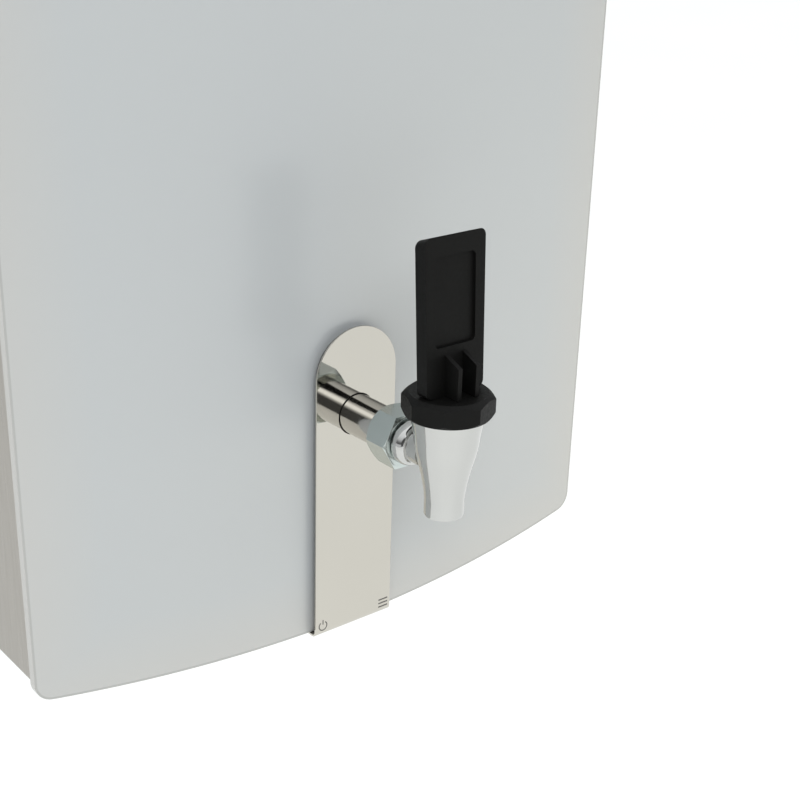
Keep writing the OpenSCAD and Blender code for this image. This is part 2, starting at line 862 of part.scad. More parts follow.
module tank_strap() {
    grow = jacket_t + strap_t;
    half = tank_w / 2 + grow;
    color(steel) difference() {
        union() {
            tank_block(grow, strap_z, strap_z + strap_h);
            translate([-half, tank_y, strap_z]) cube([2 * half, -tank_y - back_t, strap_h]);
            translate([-half - strap_foot, -back_t - strap_t, strap_z]) cube([2 * (half + strap_foot), strap_t, strap_h]);
        }
        tank_block(jacket_t, strap_z - 1, strap_z + strap_h + 1);
        translate([-half + strap_t, tank_y, strap_z - 1]) cube([2 * (half - strap_t), -tank_y, strap_h + 2]);
        for (s = [-1, 1]) {
            rod_y(s * strap_stud_x, 0, strap_z + strap_h / 2, screw_hole_r, 20);
        }
    }
}

// Immersion heater: a flange under the tank's floor and two rods bent into loops
module heating_element() {
    rod_r = 4;
    loop_r = 14;
    top = tank_low + 90;
    color(steel) {
        difference() {
            translate([heater_x, tank_y, heater_flange_low]) cylinder(r = heater_flange_r, h = heater_flange_t);
            for (p = heater_stud_places) {
                translate([p[0], p[1], heater_flange_low - 1]) cylinder(r = heater_stud_r + 0.3, h = heater_flange_t + 2);
            }
        }
        for (sy = [-1, 1]) {
            y = tank_y + sy * 12;
            for (sx = [-1, 1]) {
                translate([heater_x + sx * loop_r, y, heater_flange_low + 1]) cylinder(r = rod_r, h = top - heater_flange_low - 1);
                translate([heater_x + sx * loop_r, y, heater_flange_low - 8]) cylinder(r = 5.5, h = 8.1);
                translate([heater_x + sx * loop_r, y, heater_flange_low - 16]) cylinder(r = 2, h = 9);
            }
            translate([heater_x, y, top]) rotate([90, 0, 0]) rotate_extrude(angle = 180) translate([loop_r, 0]) circle(rod_r);
        }
    }
}

module element_gasket() {
    color(silicone) difference() {
        translate([heater_x, tank_y, tank_low - heater_gasket_t]) cylinder(r = heater_flange_r, h = heater_gasket_t);
        translate([heater_x, tank_y, tank_low - 5]) cylinder(r = heater_hole_r, h = 10);
        for (p = heater_stud_places) {
            translate([p[0], p[1], tank_low - 5]) cylinder(r = heater_stud_r + 0.1, h = 10);
        }
    }
}

module element_nuts() {
    color(brass) for (p = heater_stud_places) {
        difference() {
            translate([p[0], p[1], heater_flange_low - 5]) hex(10, 5);
            translate([p[0], p[1], heater_flange_low - 6]) cylinder(r = heater_stud_r, h = 8);
        }
    }
}

// Three level probes of different lengths, held by one plug in the lid
probe_lengths = [40, 75, tank_h - 60];
function probe_place(i) = [probe_x + 4.5 * cos(120 * i + 90), tank_y + 4.5 * sin(120 * i + 90)];

module level_probes() {
    color(steel) for (i = [0:2]) {
        p = probe_place(i);
        translate([p[0], p[1], lid_top + 14 - probe_lengths[i] - 14]) cylinder(r = 1.2, h = probe_lengths[i] + 14);
    }
}

module probe_plug() {
    color(black) difference() {
        union() {
            translate([probe_x, tank_y, lid_z - 6]) cylinder(r = 9, h = lid_top - lid_z + 7);
            translate([probe_x, tank_y, lid_top]) rotate([0, 0, 30]) hex(28, 8);
        }
        for (i = [0:2]) {
            p = probe_place(i);
            translate([p[0], p[1], lid_z - 20]) cylinder(r = 1.25, h = 60);
        }
    }
}

module thermistor() {
    color(brass) {
        translate([thermistor_x, tank_y, lid_z - 80]) cylinder(r = 4, h = 81 + lid_t);
        translate([thermistor_x, tank_y, lid_top]) hex(14, 6);
        translate([thermistor_x, tank_y, lid_top + 6]) cylinder(r = 3, h = 8);
    }
}

module overheat_cutout() {
    color(black) translate([cutout_x, tank_y, lid_top]) {
        cylinder(r = 12, h = 2);
        cylinder(r = 8, h = 10);
        for (s = [-1, 1]) {
            translate([s * 5 - 0.4, -3, 9]) cube([0.8, 6, 8]);
        }
    }
}

module drain_pipe() {
    color(steel) difference() {
        union() {
            translate([drain_x, tank_y, z_low - 15]) cylinder(r = drain_r, h = tank_low - z_low + 15);
            translate([drain_x, tank_y, tank_low - 2]) cylinder(r = drain_r + 4, h = 2);
        }
        translate([drain_x, tank_y, z_low - 16]) cylinder(r = drain_r - 1.5, h = tank_low - z_low + 20);
    }
}

module drain_cap() {
    cap_t = 3;
    low = z_low - 15 - cap_t;
    color(brass) difference() {
        union() {
            translate([drain_x, tank_y, low]) cylinder(r = drain_r + 2.5, h = 14);
            translate([drain_x, tank_y, low]) hex(17, 6);
        }
        translate([drain_x, tank_y, low + cap_t]) cylinder(r = drain_r + 0.05, h = 20);
    }
}

// Fill valve

module inlet_valve() {
    color(brass) difference() {
        union() {
            translate([valve_x, valve_y, z_low - inlet_len]) cylinder(r = inlet_r, h = inlet_free);
            translate([valve_x, valve_y, z_low - inlet_len]) cylinder(r = inlet_neck_r, h = inlet_len + 6);
            translate([valve_x, valve_y, z_low + sheet_t]) hex(34, 6);
            translate([valve_x, valve_y, z_low + 6]) cylinder(r = 13, h = valve_body_z - z_low - 6);
            translate([valve_x, valve_y, valve_body_z - 1]) cylinder(r = valve_sleeve_r, h = valve_top_z - valve_body_z + 1);
            rod_y(valve_x, valve_y, spigot_z, 6, valve_y - spigot_end_y);
        }
        translate([valve_x, valve_y, z_low - inlet_len - 1]) cylinder(r = inlet_r - 3.5, h = inlet_len + 13);
        translate([valve_x, valve_y, z_low + 5]) cylinder(r = 2.5, h = valve_seat_z - z_low);
        translate([valve_x, valve_y, valve_seat_z]) cylinder(r = valve_bore_r, h = valve_top_z - valve_seat_z - 2);
        rod_y(valve_x, valve_y, spigot_z, 3.5, 40);
    }
}

module valve_coil() {
    size = 26;
    color(black) difference() {
        union() {
            translate([valve_x - size / 2, valve_y - size / 2, valve_body_z + 1]) cube([size, size, 25]);
            for (s = [-1, 1]) {
                translate([valve_x + s * 6 - 3, valve_y + size / 2 - 1, valve_body_z + 14]) cube([6, 9, 0.8]);
            }
        }
        translate([valve_x, valve_y, valve_body_z]) cylinder(r = valve_sleeve_r + 0.2, h = 40);
    }
}

module valve_plunger() {
    color(steel) translate([valve_x, valve_y, valve_seat_z + 0.1]) cylinder(r = valve_bore_r - 0.3, h = plunger_h);
}

module plunger_spring() {
    low = valve_seat_z + 0.1 + plunger_h;
    color(zinc) translate([valve_x, valve_y, low]) coil(3.6, 0.4, valve_top_z - 2 - low, 6, 16, 6);
}

module inlet_locknut() {
    color(brass) difference() {
        translate([valve_x, valve_y, z_low - locknut_h]) hex(34, locknut_h);
        translate([valve_x, valve_y, z_low - locknut_h - 1]) cylinder(r = inlet_neck_r, h = locknut_h + 2);
    }
}

// Pipe from the fill valve up the left side and down through the lid
module feed_pipe() {
    path = [
        [valve_x, spigot_end_y, spigot_z], [valve_x, tank_y, spigot_z], [valve_x, tank_y, pipe_run_z],
        [-feed_x, tank_y, pipe_run_z], [-feed_x, tank_y, lid_z - 12]
    ];
    bore = [path[0] + [0, 1, 0], path[1], path[2], path[3], path[4] - [0, 0, 1]];
    color(steel) difference() {
        union() {
            rod_y(valve_x, spigot_end_y + 10, spigot_z, 8, 12);
            pipe_solid(path, feed_bend_r, feed_r);
            translate([-feed_x, tank_y, lid_top]) cylinder(r = feed_r + 4, h = 4);
        }
        rod_y(valve_x, spigot_end_y + 20, spigot_z, 6.05, 20);
        pipe_solid(bore, feed_bend_r, feed_r - 1);
    }
}

// Pipe from the lid down the right side and out through the base
module overflow_pipe() {
    path = [
        [feed_x, tank_y, lid_z - 2], [feed_x, tank_y, pipe_run_z],
        [side_x, tank_y, pipe_run_z], [side_x, tank_y, z_low - 22]
    ];
    bore = [path[0] - [0, 0, 1], path[1], path[2], path[3] - [0, 0, 1]];
    color(steel) difference() {
        union() {
            pipe_solid(path, overflow_bend_r, overflow_r);
            translate([feed_x, tank_y, lid_top]) cylinder(r = overflow_r + 4, h = 4);
            // Rolled bead that stops the pipe under the base
            translate([side_x, tank_y, z_low - 4]) cylinder(r = overflow_r + 1.5, h = 2);
        }
        pipe_solid(bore, overflow_bend_r, overflow_r - 1.2);
    }
}

// Electrical side

module control_board() {
    color(board_green) difference() {
        translate([-pcb_w / 2, pcb_y - board_t, pcb_z - pcb_h / 2]) cube([pcb_w, board_t, pcb_h]);
        for (p = standoff_places) {
            rod_y(p[0], 0, p[1], 1.6, 30);
        }
    }
}

module board_standoffs() {
    color(zinc) for (p = standoff_places) {
        rod_y(p[0], -back_t, p[1], 3, standoff_h);
        rod_y(p[0], -back_t - standoff_h + 0.1, p[1], 1.5, board_t + 0.2);
        rod_y(p[0], pcb_y - board_t, p[1], 2.8, 1.8);
    }
}

module board_block(x, z, w, h, d) {
    translate([x - w / 2, pcb_y - board_t - d, pcb_z + z - h / 2]) cube([w, d, h]);
}

module board_components() {
    color(black) {
        for (x = [-50, -30]) {
            board_block(x, 20, 16, 28, 16);
        }
        board_block(20, 22, 36, 30, 28);
        for (x = [-55, -15, 25]) {
            board_block(x, -38, 28, 8, 10);
        }
        for (x = [50, 62]) {
            rod_y(x, pcb_y - board_t, pcb_z - 5, 5, 14);
        }
        for (i = [0:4]) {
            board_block(-20 + 5 * i, -12, 1.5, 22, 18);
        }
    }
}

module terminal_block() {
    w = 48;
    color(foam) difference() {
        translate([gland_x - w, -back_t - 22, z_low + 20]) cube([w, 22, 20]);
        for (i = [0:2]) {
            rod_y(gland_x - w + 8 + 16 * i, -back_t - 10, z_low + 30, 3, 20);
            translate([gland_x - w + 8 + 16 * i, -back_t - 8, z_low + 19]) cylinder(r = 2.5, h = 9);
        }
    }
}

module cable_gland() {
    color(black) difference() {
        union() {
            translate([gland_x, gland_y, z_low - 4]) cylinder(r = gland_r, h = 14);
            translate([gland_x, gland_y, z_low - 6]) hex(24, 6);
            translate([gland_x, gland_y, z_low - 16]) cylinder(r1 = 8, r2 = 10.5, h = 10.1);
            translate([gland_x, gland_y, z_low + sheet_t]) hex(24, 5);
        }
        translate([gland_x, gland_y, z_low - 20]) cylinder(r = 5.5, h = 50);
    }
}

// Tap

module tap_shank() {
    inner = tank_front_y + 12;
    color(steel) difference() {
        union() {
            rod_y(0, inner, tap_z, shank_r, inner - shank_end_y);
            rod_y(0, tank_front_y - shank_washer_t, tap_z, shank_collar_r, shank_collar_t);
        }
        rod_y(0, inner + 1, tap_z, shank_bore_r, inner - shank_end_y + 2);
    }
}

module shank_washer() {
    color(silicone) difference() {
        rod_y(0, tank_front_y, tap_z, shank_collar_r, shank_washer_t);
        rod_y(0, tank_front_y + 1, tap_z, shank_r + 0.05, shank_washer_t + 2);
    }
}

module shank_backnut() {
    color(brass) difference() {
        translate([0, tank_front_y + tank_t + backnut_t, tap_z]) rotate([90, 0, 0]) hex(27, backnut_t);
        rod_y(0, tank_front_y + 20, tap_z, shank_r, 40);
    }
}

// Union nut with its flats up and down and both ends chamfered
module tap_nut() {
    corner = nut_flats / (2 * cos(30));
    low = nut_flats / 2 - 0.4;
    color(chrome) difference() {
        translate([0, nut_y, tap_z]) rotate([90, 0, 0]) intersection() {
            hex(nut_flats, nut_len);
            rotate_extrude() polygon([
                [0, 0], [low, 0], [corner + 0.1, 2.6], [corner + 0.1, nut_len - 1.4], [low, nut_len], [0, nut_len]
            ]);
        }
        rod_y(0, nut_y + 1, tap_z, shank_r + 0.05, nut_y + 1 - tail_y + tail_collar_t + 0.1);
        rod_y(0, nut_y, tap_z, tail_neck_r + 0.1, nut_len + 2);
    }
}

module tail_washer() {
    color(silicone) difference() {
        rod_y(0, shank_end_y, tap_z, tail_collar_r, tail_washer_t);
        rod_y(0, shank_end_y + 1, tap_z, inlet_bore_r + 0.6, tail_washer_t + 2);
    }
}

// Outline of the barrel: straight under the bonnet, then one smooth curve into the spout
barrel_curve_high = 12;
barrel_curve_low = -17;
barrel_steps = 14;
barrel_curve = [
    for (i = [0:barrel_steps])
    let (t = i / barrel_steps)
    [cubic(barrel_r - 0.1, barrel_r - 0.1, spout_r + 1.2, spout_r, t),
     tap_z + cubic(barrel_curve_high, 1, -4, barrel_curve_low, t)]
];

module barrel() {
    translate([0, tap_y, 0]) rotate_extrude($fn = 96) polygon(concat(
        [[0, barrel_z + neck_h], [neck_r, barrel_z + neck_h], [neck_r, barrel_z], [barrel_r, barrel_z]],
        barrel_curve,
        [[spout_r + 0.05, tap_z - spout_drop + 0.5], [spout_r - 0.4, tap_z - spout_drop], [0, tap_z - spout_drop]]
    ));
}

// The boss at the tail: a dome behind the groove, then a round bar into the barrel
module tail_boss() {
    dome = 3;
    steps = 6;
    len = boss_y - tap_y;
    translate([0, boss_y, tap_z]) rotate([90, 0, 0]) rotate_extrude() polygon(concat(
        [[0, 0]],
        [for (i = [0:steps]) [boss_r - dome * (1 - sin(90 * i / steps)), dome * (1 - cos(90 * i / steps))]],
        [[boss_r, len], [0, len]]
    ));
}

module tap_body() {
    color(chrome) difference() {
        union() {
            barrel();
            tail_boss();
            rod_y(0, tail_y, tap_z, tail_neck_r, tail_y - boss_y + 2);
            rod_y(0, tail_y, tap_z, tail_collar_r, tail_collar_t);
        }
        translate([0, tap_y, seat_z]) cylinder(r = chamber_r, h = 60);
        translate([0, tap_y, seat_z - 5]) cylinder(r = seat_r, h = 10);
        translate([0, tap_y, tap_z - spout_drop - 1]) cylinder(r = spout_bore_r, h = spout_drop - 8.5 + 1);
        rod_y(0, tail_y + 1, tap_z, inlet_bore_r, tail_y + 1 - tap_y);
    }
}

// Soft cup on the stem's lower end, which closes the seat
module seat_cup() {
    color(silicone) difference() {
        translate([0, tap_y, seat_z + seat_gap]) rotate_extrude() polygon([
            [0, 0], [seat_r + 2, 0], [seat_r + 2, 2.2], [4.6, 4.2], [4.6, cup_h], [0, cup_h]
        ]);
        translate([0, tap_y, seat_z + 3]) cylinder(r = 2.65, h = 10);
    }
}

module valve_stem() {
    color(black) difference() {
        translate([0, tap_y, 0]) {
            translate([0, 0, seat_z + 3.1]) cylinder(r = 2.6, h = 8);
            translate([0, 0, spring_seat_z - spring_collar_t]) cylinder(r = 6.5, h = spring_collar_t);
            translate([0, 0, spring_seat_z - 0.1]) cylinder(r = stem_r, h = pin_z + 3 - spring_seat_z + 0.1);
        }
        translate([-10, tap_y, pin_z]) rotate([0, 90, 0]) cylinder(r = pin_r, h = 20);
    }
}

module stem_spring() {
    color(zinc) translate([0, tap_y, spring_seat_z]) coil(5.2, 0.55, seal_z - spring_seat_z, 7);
}

module stem_seal() {
    color(silicone) difference() {
        translate([0, tap_y, seal_z]) cylinder(r = neck_r - 0.2, h = seal_t);
        translate([0, tap_y, seal_z - 1]) cylinder(r = stem_r + stem_play, h = seal_t + 2);
    }
}

// Eight-sided bonnet with a corner to the front, a chamfered top and a round lower edge
module bonnet() {
    r = bonnet_corners / 2;
    flat_r = r * cos(22.5);
    color(black) difference() {
        translate([0, tap_y, bonnet_z]) intersection() {
            cylinder(r = r, h = bonnet_h, $fn = 8);
            rotate_extrude() polygon([
                [0, 0], [flat_r, 0], [r + 0.1, 1.7], [r + 0.1, bonnet_h - 2.4], [r - 3, bonnet_h], [0, bonnet_h]
            ]);
        }
        translate([0, tap_y, bonnet_z - 1]) cylinder(r = neck_r + 0.05, h = seal_z + seal_t - bonnet_z + 1);
        translate([0, tap_y, bonnet_z - 1]) cylinder(r = stem_r + stem_play, h = bonnet_h + 2);
    }
}

module lever_pin() {
    color(zinc) translate([-pin_len / 2, tap_y, pin_z]) rotate([0, 90, 0]) cylinder(r = pin_r, h = pin_len);
}

// Lever: a leaning plate with a shallow recess, two ribs in front whose toes stand on the bonnet,
// and a foot that snaps over the pin
module tap_lever() {
    reach = lever_h - (pin_z - bonnet_top);
    foot = pin_z - lever_low;
    recess_w = 21;
    recess_low = 17.7;
    recess_high = reach - 6.6;
    rib_x = 5.25;
    rib_t = 2.1;
    rib_high = 12.4;
    corner_r = 3;
    recess_r = 2;
    slot = 2 * stem_r + 0.6;
    color(black) translate([0, tap_y, pin_z]) difference() {
        union() {
            rotate([-lever_lean, 0, 0]) difference() {
                translate([0, pin_back, 0]) rotate([90, 0, 0]) linear_extrude(lever_t)
                    round_rect(lever_w, -foot - 0.3, reach, corner_r);
                translate([0, -pin_front + 1.5, 0]) rotate([90, 0, 0]) linear_extrude(5)
                    round_rect(recess_w, recess_low, recess_high, recess_r);
            }
            for (s = [-1, 1]) {
                translate([s * rib_x, 0, 0]) profile_yz(rib_t)
                    polygon([[0, -foot], [-toe_reach, -foot], [-toe_reach, rib_high - 2.6], [0, rib_high + 1.5]]);
            }
        }
        translate([-lever_w, -20, -foot - 10]) cube([2 * lever_w, 40, 10]);
        translate([-slot / 2, -20, -foot - 1]) cube([slot, 40, foot + 6.4]);
        translate([-pin_len / 2 - 0.3, 0, 0]) rotate([0, 90, 0]) cylinder(r = pin_r + pin_play, h = pin_len + 0.6);
        translate([-pin_len / 2 - 0.3, -1.1, -foot - 1]) cube([pin_len + 0.6, 2.2, foot + 1]);
    }
}

back_plate();
case_wrap();
base_panel();
front_carrier();
glass_tape();
glass_front();
strip_spacer();
tap_strip();
shank_grommet();
case_screws();
stud_nuts();
button_pod();
button_board();
button_switches();
standby_button();
function_button();
standby_spring();
function_spring();
tank_shell();
tank_lid();
lid_gasket();
lid_screws();
tank_jacket();
jacket_cap();
tank_bracket();
tank_strap();
heating_element();
element_gasket();
element_nuts();
level_probes();
probe_plug();
thermistor();
overheat_cutout();
drain_pipe();
drain_cap();
inlet_valve();
valve_coil();
valve_plunger();
plunger_spring();
inlet_locknut();
feed_pipe();
overflow_pipe();
control_board();
board_standoffs();
board_components();
terminal_block();
cable_gland();
tap_shank();
shank_washer();
shank_backnut();
tap_nut();
tail_washer();
tap_body();
seat_cup();
valve_stem();
stem_spring();
stem_seal();
bonnet();
lever_pin();
tap_lever();
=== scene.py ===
import json
import math

import bmesh
import bpy
from mathutils import Matrix, Vector


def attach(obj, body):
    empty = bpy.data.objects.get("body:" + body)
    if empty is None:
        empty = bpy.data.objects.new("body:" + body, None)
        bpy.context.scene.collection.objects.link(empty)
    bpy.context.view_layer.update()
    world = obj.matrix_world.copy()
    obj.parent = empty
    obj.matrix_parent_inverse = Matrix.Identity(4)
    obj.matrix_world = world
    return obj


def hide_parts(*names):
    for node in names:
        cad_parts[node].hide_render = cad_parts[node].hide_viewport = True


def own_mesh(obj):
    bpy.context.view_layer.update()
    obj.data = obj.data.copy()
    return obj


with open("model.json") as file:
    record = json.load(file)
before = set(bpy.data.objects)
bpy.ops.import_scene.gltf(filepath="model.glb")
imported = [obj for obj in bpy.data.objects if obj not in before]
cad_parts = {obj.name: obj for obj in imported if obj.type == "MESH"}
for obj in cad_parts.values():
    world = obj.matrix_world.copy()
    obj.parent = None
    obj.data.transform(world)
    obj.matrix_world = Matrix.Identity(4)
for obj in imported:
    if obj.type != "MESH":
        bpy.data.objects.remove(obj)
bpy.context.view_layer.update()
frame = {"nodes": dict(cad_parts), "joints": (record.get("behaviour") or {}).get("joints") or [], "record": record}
nodes = frame["nodes"]
scene = bpy.context.scene
MM = 0.001
# Points of a mesh that are nearer than this are one point, in metres
MERGE = 0.00001
# The middle of a noise, which a finish spreads between its two ends
NOISE_LOW = 0.3
NOISE_HIGH = 0.7

# Places and sizes of the real boiler, in millimetres, as in the construction
CASE_W = 310
CASE_H = 580
CASE_D = 178
TAP_Z = -201
TAP_Y = -257.923
FLANGE_H = 15
STRIP_FACE_Y = -197.223
STRIP_LOW = -309.63
STRIP_BACK_Y = -149.223
PIN_Z = -165.3
TAIL_REACH = 24.2
NUT_FRONT_Y = -232.223
NUT_FORWARD = 1.4
VALVE = (-128, -50)

GLASS = {
    "Half Width": 156,
    "Bow Radius": 1300,
    "Bow Centre": 1106.977,
    "Thickness": 4,
    "End Height": 308.4,
    "Corner Height": 297.4,
    "Corner Radius": 8.5,
    "Hole Radius": 14,
    "Hole Height": TAP_Z,
}

# Shades over the glass by the distance from its edge, in millimetres, which paint light and shade into its colour:
# the polished side is a pale, warm painted highlight, the bevel is a thin darker line of painted shade, and the
# face is warmer near the edge with painted light
PAINTED_EDGE_HIGHLIGHT = (1, 0.94, 0.88)
PAINTED_EDGE_SHADE = (0.8, 0.77, 0.735)
PAINTED_MARGIN_LIGHT = (0.965, 0.93, 0.9)
FACE = (0.93, 0.925, 0.925)
GLASS_EDGE_PAINTED_LIGHT = [(0, PAINTED_EDGE_HIGHLIGHT), (0.03, PAINTED_EDGE_HIGHLIGHT), (0.12, PAINTED_EDGE_SHADE), (0.85, PAINTED_EDGE_SHADE), (1.15, PAINTED_MARGIN_LIGHT), (4, PAINTED_MARGIN_LIGHT), (32, FACE)]

# The photograph's frame and lens in pixels, and the camera's place in metres and turn in degrees
FRAME = 800
FOCAL = 1429.1
LENS_CENTRE = (375.605, 414.852)
CAMERA_SPOT = (-0.361258, -0.658982, 0.047617)
CAMERA_TURN = (38.874, 23.017, 1.235)

# The studio's brightness from straight below to straight above, and two cards beside the object
SKY = [(0.0, 0.72), (0.49, 0.72), (0.51, 0.1), (0.57, 0.2), (0.68, 0.72), (0.8, 1.0), (1.0, 1.2)]
BRIGHT_CARD = {"toward": (-0.36, -0.73, 0.58), "wide": 10, "core": 3.5, "target": 2.2}
BLACK_CARD = {"toward": (-0.68, -0.72, 0.10), "wide": 23, "core": 17, "target": 0.1}


# Materials: each finish is mixed from noise in the piece's own place


def new_material(name):
    material = bpy.data.materials.new(name)
    material.use_nodes = True
    tree = material.node_tree
    return material, tree, tree.nodes["Principled BSDF"]


def link(tree, source, target):
    tree.links.new(source, target)


def grain(tree, scale, stretch=(1, 1, 1)):
    """Noise in Object coordinates, drawn out along the axes that stretch makes small."""
    place = tree.nodes.new("ShaderNodeTexCoord")
    turn = tree.nodes.new("ShaderNodeMapping")
    turn.inputs["Scale"].default_value = stretch
    noise = tree.nodes.new("ShaderNodeTexNoise")
    noise.inputs["Scale"].default_value = scale
    noise.inputs["Detail"].default_value = 4
    noise.inputs["Roughness"].default_value = 0.55
    link(tree, place.outputs["Object"], turn.inputs["Vector"])
    link(tree, turn.outputs["Vector"], noise.inputs["Vector"])
    return noise.outputs["Fac"]


def spread(tree, value, low, high, first=NOISE_LOW, last=NOISE_HIGH):
    """Maps the range from first to last, which is the middle of a noise, to another one."""
    node = tree.nodes.new("ShaderNodeMapRange")
    node.inputs["From Min"].default_value = first
    node.inputs["From Max"].default_value = last
    node.inputs["To Min"].default_value = low
    node.inputs["To Max"].default_value = high
    link(tree, value, node.inputs["Value"])
    return node.outputs["Result"]


def shades(tree, value, stops):
    """A colour ramp through the given stops, each a place and a shade."""
    node = tree.nodes.new("ShaderNodeValToRGB")
    while len(node.color_ramp.elements) < len(stops):
        node.color_ramp.elements.new(0.5)
    for element, (spot, shade) in zip(node.color_ramp.elements, stops):
        element.position = spot
        element.color = (*shade, 1)
    link(tree, value, node.inputs["Fac"])
    return node.outputs["Color"]


def bump(tree, shader, value, depth):
    node = tree.nodes.new("ShaderNodeBump")
    node.inputs["Strength"].default_value = 1
    node.inputs["Distance"].default_value = depth
    link(tree, value, node.inputs["Height"])
    link(tree, node.outputs["Normal"], shader.inputs["Normal"])


def finish(
    name, dark, light, rough, scale=60, stretch=(1, 1, 1), patch=12, depth=0.00002, metal=0.0, **sockets
):
    """A finish with patches of two shades, an uneven gloss and a fine relief."""
    material, tree, shader = new_material(name)
    shader.inputs["Metallic"].default_value = metal
    for socket, value in sockets.items():
        shader.inputs[socket.replace("_", " ")].default_value = value
    fine = grain(tree, scale, stretch)
    patches = shades(tree, grain(tree, patch), [(NOISE_LOW, dark), (NOISE_HIGH, light)])
    link(tree, patches, shader.inputs["Base Color"])
    link(tree, spread(tree, fine, *rough), shader.inputs["Roughness"])
    bump(tree, shader, fine, depth)
    return material


def make_materials():
    return {
        "glass": finish(
            "back_painted_glass", (0.55, 0.578, 0.59), (0.565, 0.594, 0.602), (0.2, 0.24), scale=25, patch=3,
            depth=0.000002, IOR=1.52,
        ),
        "stainless": finish(
            "satin_stainless", (0.345, 0.325, 0.295), (0.37, 0.347, 0.317), (0.26, 0.38), scale=90,
            stretch=(14, 14, 0.4), patch=6, depth=0.000012, metal=1.0,
        ),
        "mirror_steel": finish(
            "mirror_steel", (0.572, 0.547, 0.492), (0.592, 0.567, 0.512), (0.02, 0.05), scale=30,
            stretch=(1, 1, 0.3), patch=8, depth=0.000001, metal=1.0,
        ),
        "chrome": finish(
            "chrome", (0.55, 0.55, 0.535), (0.57, 0.57, 0.555), (0.06, 0.11), scale=80, patch=20,
            depth=0.000002, metal=1.0,
        ),
        "nickel": finish(
            "nickel", (0.55, 0.60, 0.585), (0.57, 0.62, 0.605), (0.12, 0.2), scale=120, patch=30,
            depth=0.000006, metal=1.0,
        ),
        "tube_steel": finish(
            "turned_steel", (0.53, 0.52, 0.495), (0.58, 0.565, 0.54), (0.09, 0.17), scale=160,
            stretch=(1, 12, 1), patch=30, depth=0.000004, metal=1.0,
        ),
        "zinc": finish(
            "zinc_plate", (0.53, 0.54, 0.55), (0.59, 0.60, 0.61), (0.30, 0.40), scale=70, patch=25,
            depth=0.00002, metal=1.0,
        ),
        "brass": finish(
            "brass", (0.62, 0.44, 0.18), (0.70, 0.52, 0.24), (0.22, 0.36), scale=80, patch=20,
            depth=0.00001, metal=1.0,
        ),
        "spring_steel": finish(
            "spring_steel", (0.42, 0.42, 0.43), (0.5, 0.5, 0.51), (0.25, 0.35), scale=200, patch=40,
            depth=0.00001, metal=1.0,
        ),
        "black_plastic": finish(
            "black_plastic", (0.0052, 0.0052, 0.0048), (0.007, 0.007, 0.0065), (0.42, 0.58), scale=700,
            patch=25, depth=0.00003, Specular_IOR_Level=0.12,
        ),
        "black_rubber": finish(
            "black_rubber", (0.010, 0.010, 0.010), (0.016, 0.016, 0.016), (0.6, 0.75), scale=300, patch=30,
            depth=0.00004,
        ),
        "silicone": finish(
            "red_silicone", (0.45, 0.09, 0.05), (0.52, 0.12, 0.07), (0.45, 0.6), scale=200, patch=20,
            depth=0.00002, Subsurface_Weight=0.05,
        ),
        "foam": finish(
            "dark_foam", (0.03, 0.03, 0.032), (0.05, 0.05, 0.053), (0.85, 0.95), scale=400, patch=60,
            depth=0.0003,
        ),
        "circuit_board": finish(
            "circuit_board", (0.015, 0.09, 0.035), (0.02, 0.12, 0.05), (0.25, 0.4), scale=200, patch=40,
            depth=0.00003,
        ),
    }


# Meshes


def keep(obj, name, body, material, replaced=()):
    """Names a finished piece, dresses it and makes it ride on its body."""
    obj.name = name
    obj.data.name = name
    obj.data.materials.clear()
    obj.data.materials.append(material)
    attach(obj, body)
    if replaced:
        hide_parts(*replaced)


def add_object(name, data):
    obj = bpy.data.objects.new(name, data)
    scene.collection.objects.link(obj)
    return obj


def settle(obj):
    """Turns an object's modifiers into plain mesh."""
    bpy.context.view_layer.update()
    plain = bpy.data.meshes.new_from_object(obj.evaluated_get(bpy.context.evaluated_depsgraph_get()))
    obj.modifiers.clear()
    obj.data = plain
    return obj


def soften(obj, width, segments=2, angle=30):
    """Rounds the sharp edges of a piece by a few tenths of a millimetre."""
    bevel = obj.modifiers.new("soften", "BEVEL")
    bevel.width = width * MM
    bevel.segments = segments
    bevel.limit_method = "ANGLE"
    bevel.angle_limit = math.radians(angle)
    bevel.use_clamp_overlap = True
    # Flat faces keep their own normal up to the rounded edge
    shade = obj.modifiers.new("shade", "WEIGHTED_NORMAL")
    shade.keep_sharp = True
    shade.weight = 60
    for face in obj.data.polygons:
        face.use_smooth = True
    return obj


def shade_by_angle(obj, sharp):
    """Smooth faces that meet at less than the given angle."""
    for face in obj.data.polygons:
        face.use_smooth = True
    obj.data.set_sharp_from_angle(angle=math.radians(sharp))


def refined(node, width, segments=2, angle=30, shape=None):
    """A merged copy of a construction piece whose edges are rounded, after shape has changed it."""
    same_point, flat = 0.000002, math.radians(0.2)
    bm = bmesh.new()
    bm.from_mesh(nodes[node].data)
    bmesh.ops.remove_doubles(bm, verts=bm.verts, dist=same_point)
    bmesh.ops.dissolve_limit(bm, angle_limit=flat, verts=bm.verts, edges=bm.edges)
    if shape:
        shape(bm)
    mesh = bpy.data.meshes.new(node + "_fine")
    bm.to_mesh(mesh)
    bm.free()
    obj = add_object(node + "_fine", mesh)
    soften(obj, width, segments, angle)
    return settle(obj)


# Geometry Nodes: a helper that wires sums and sheets as they are written


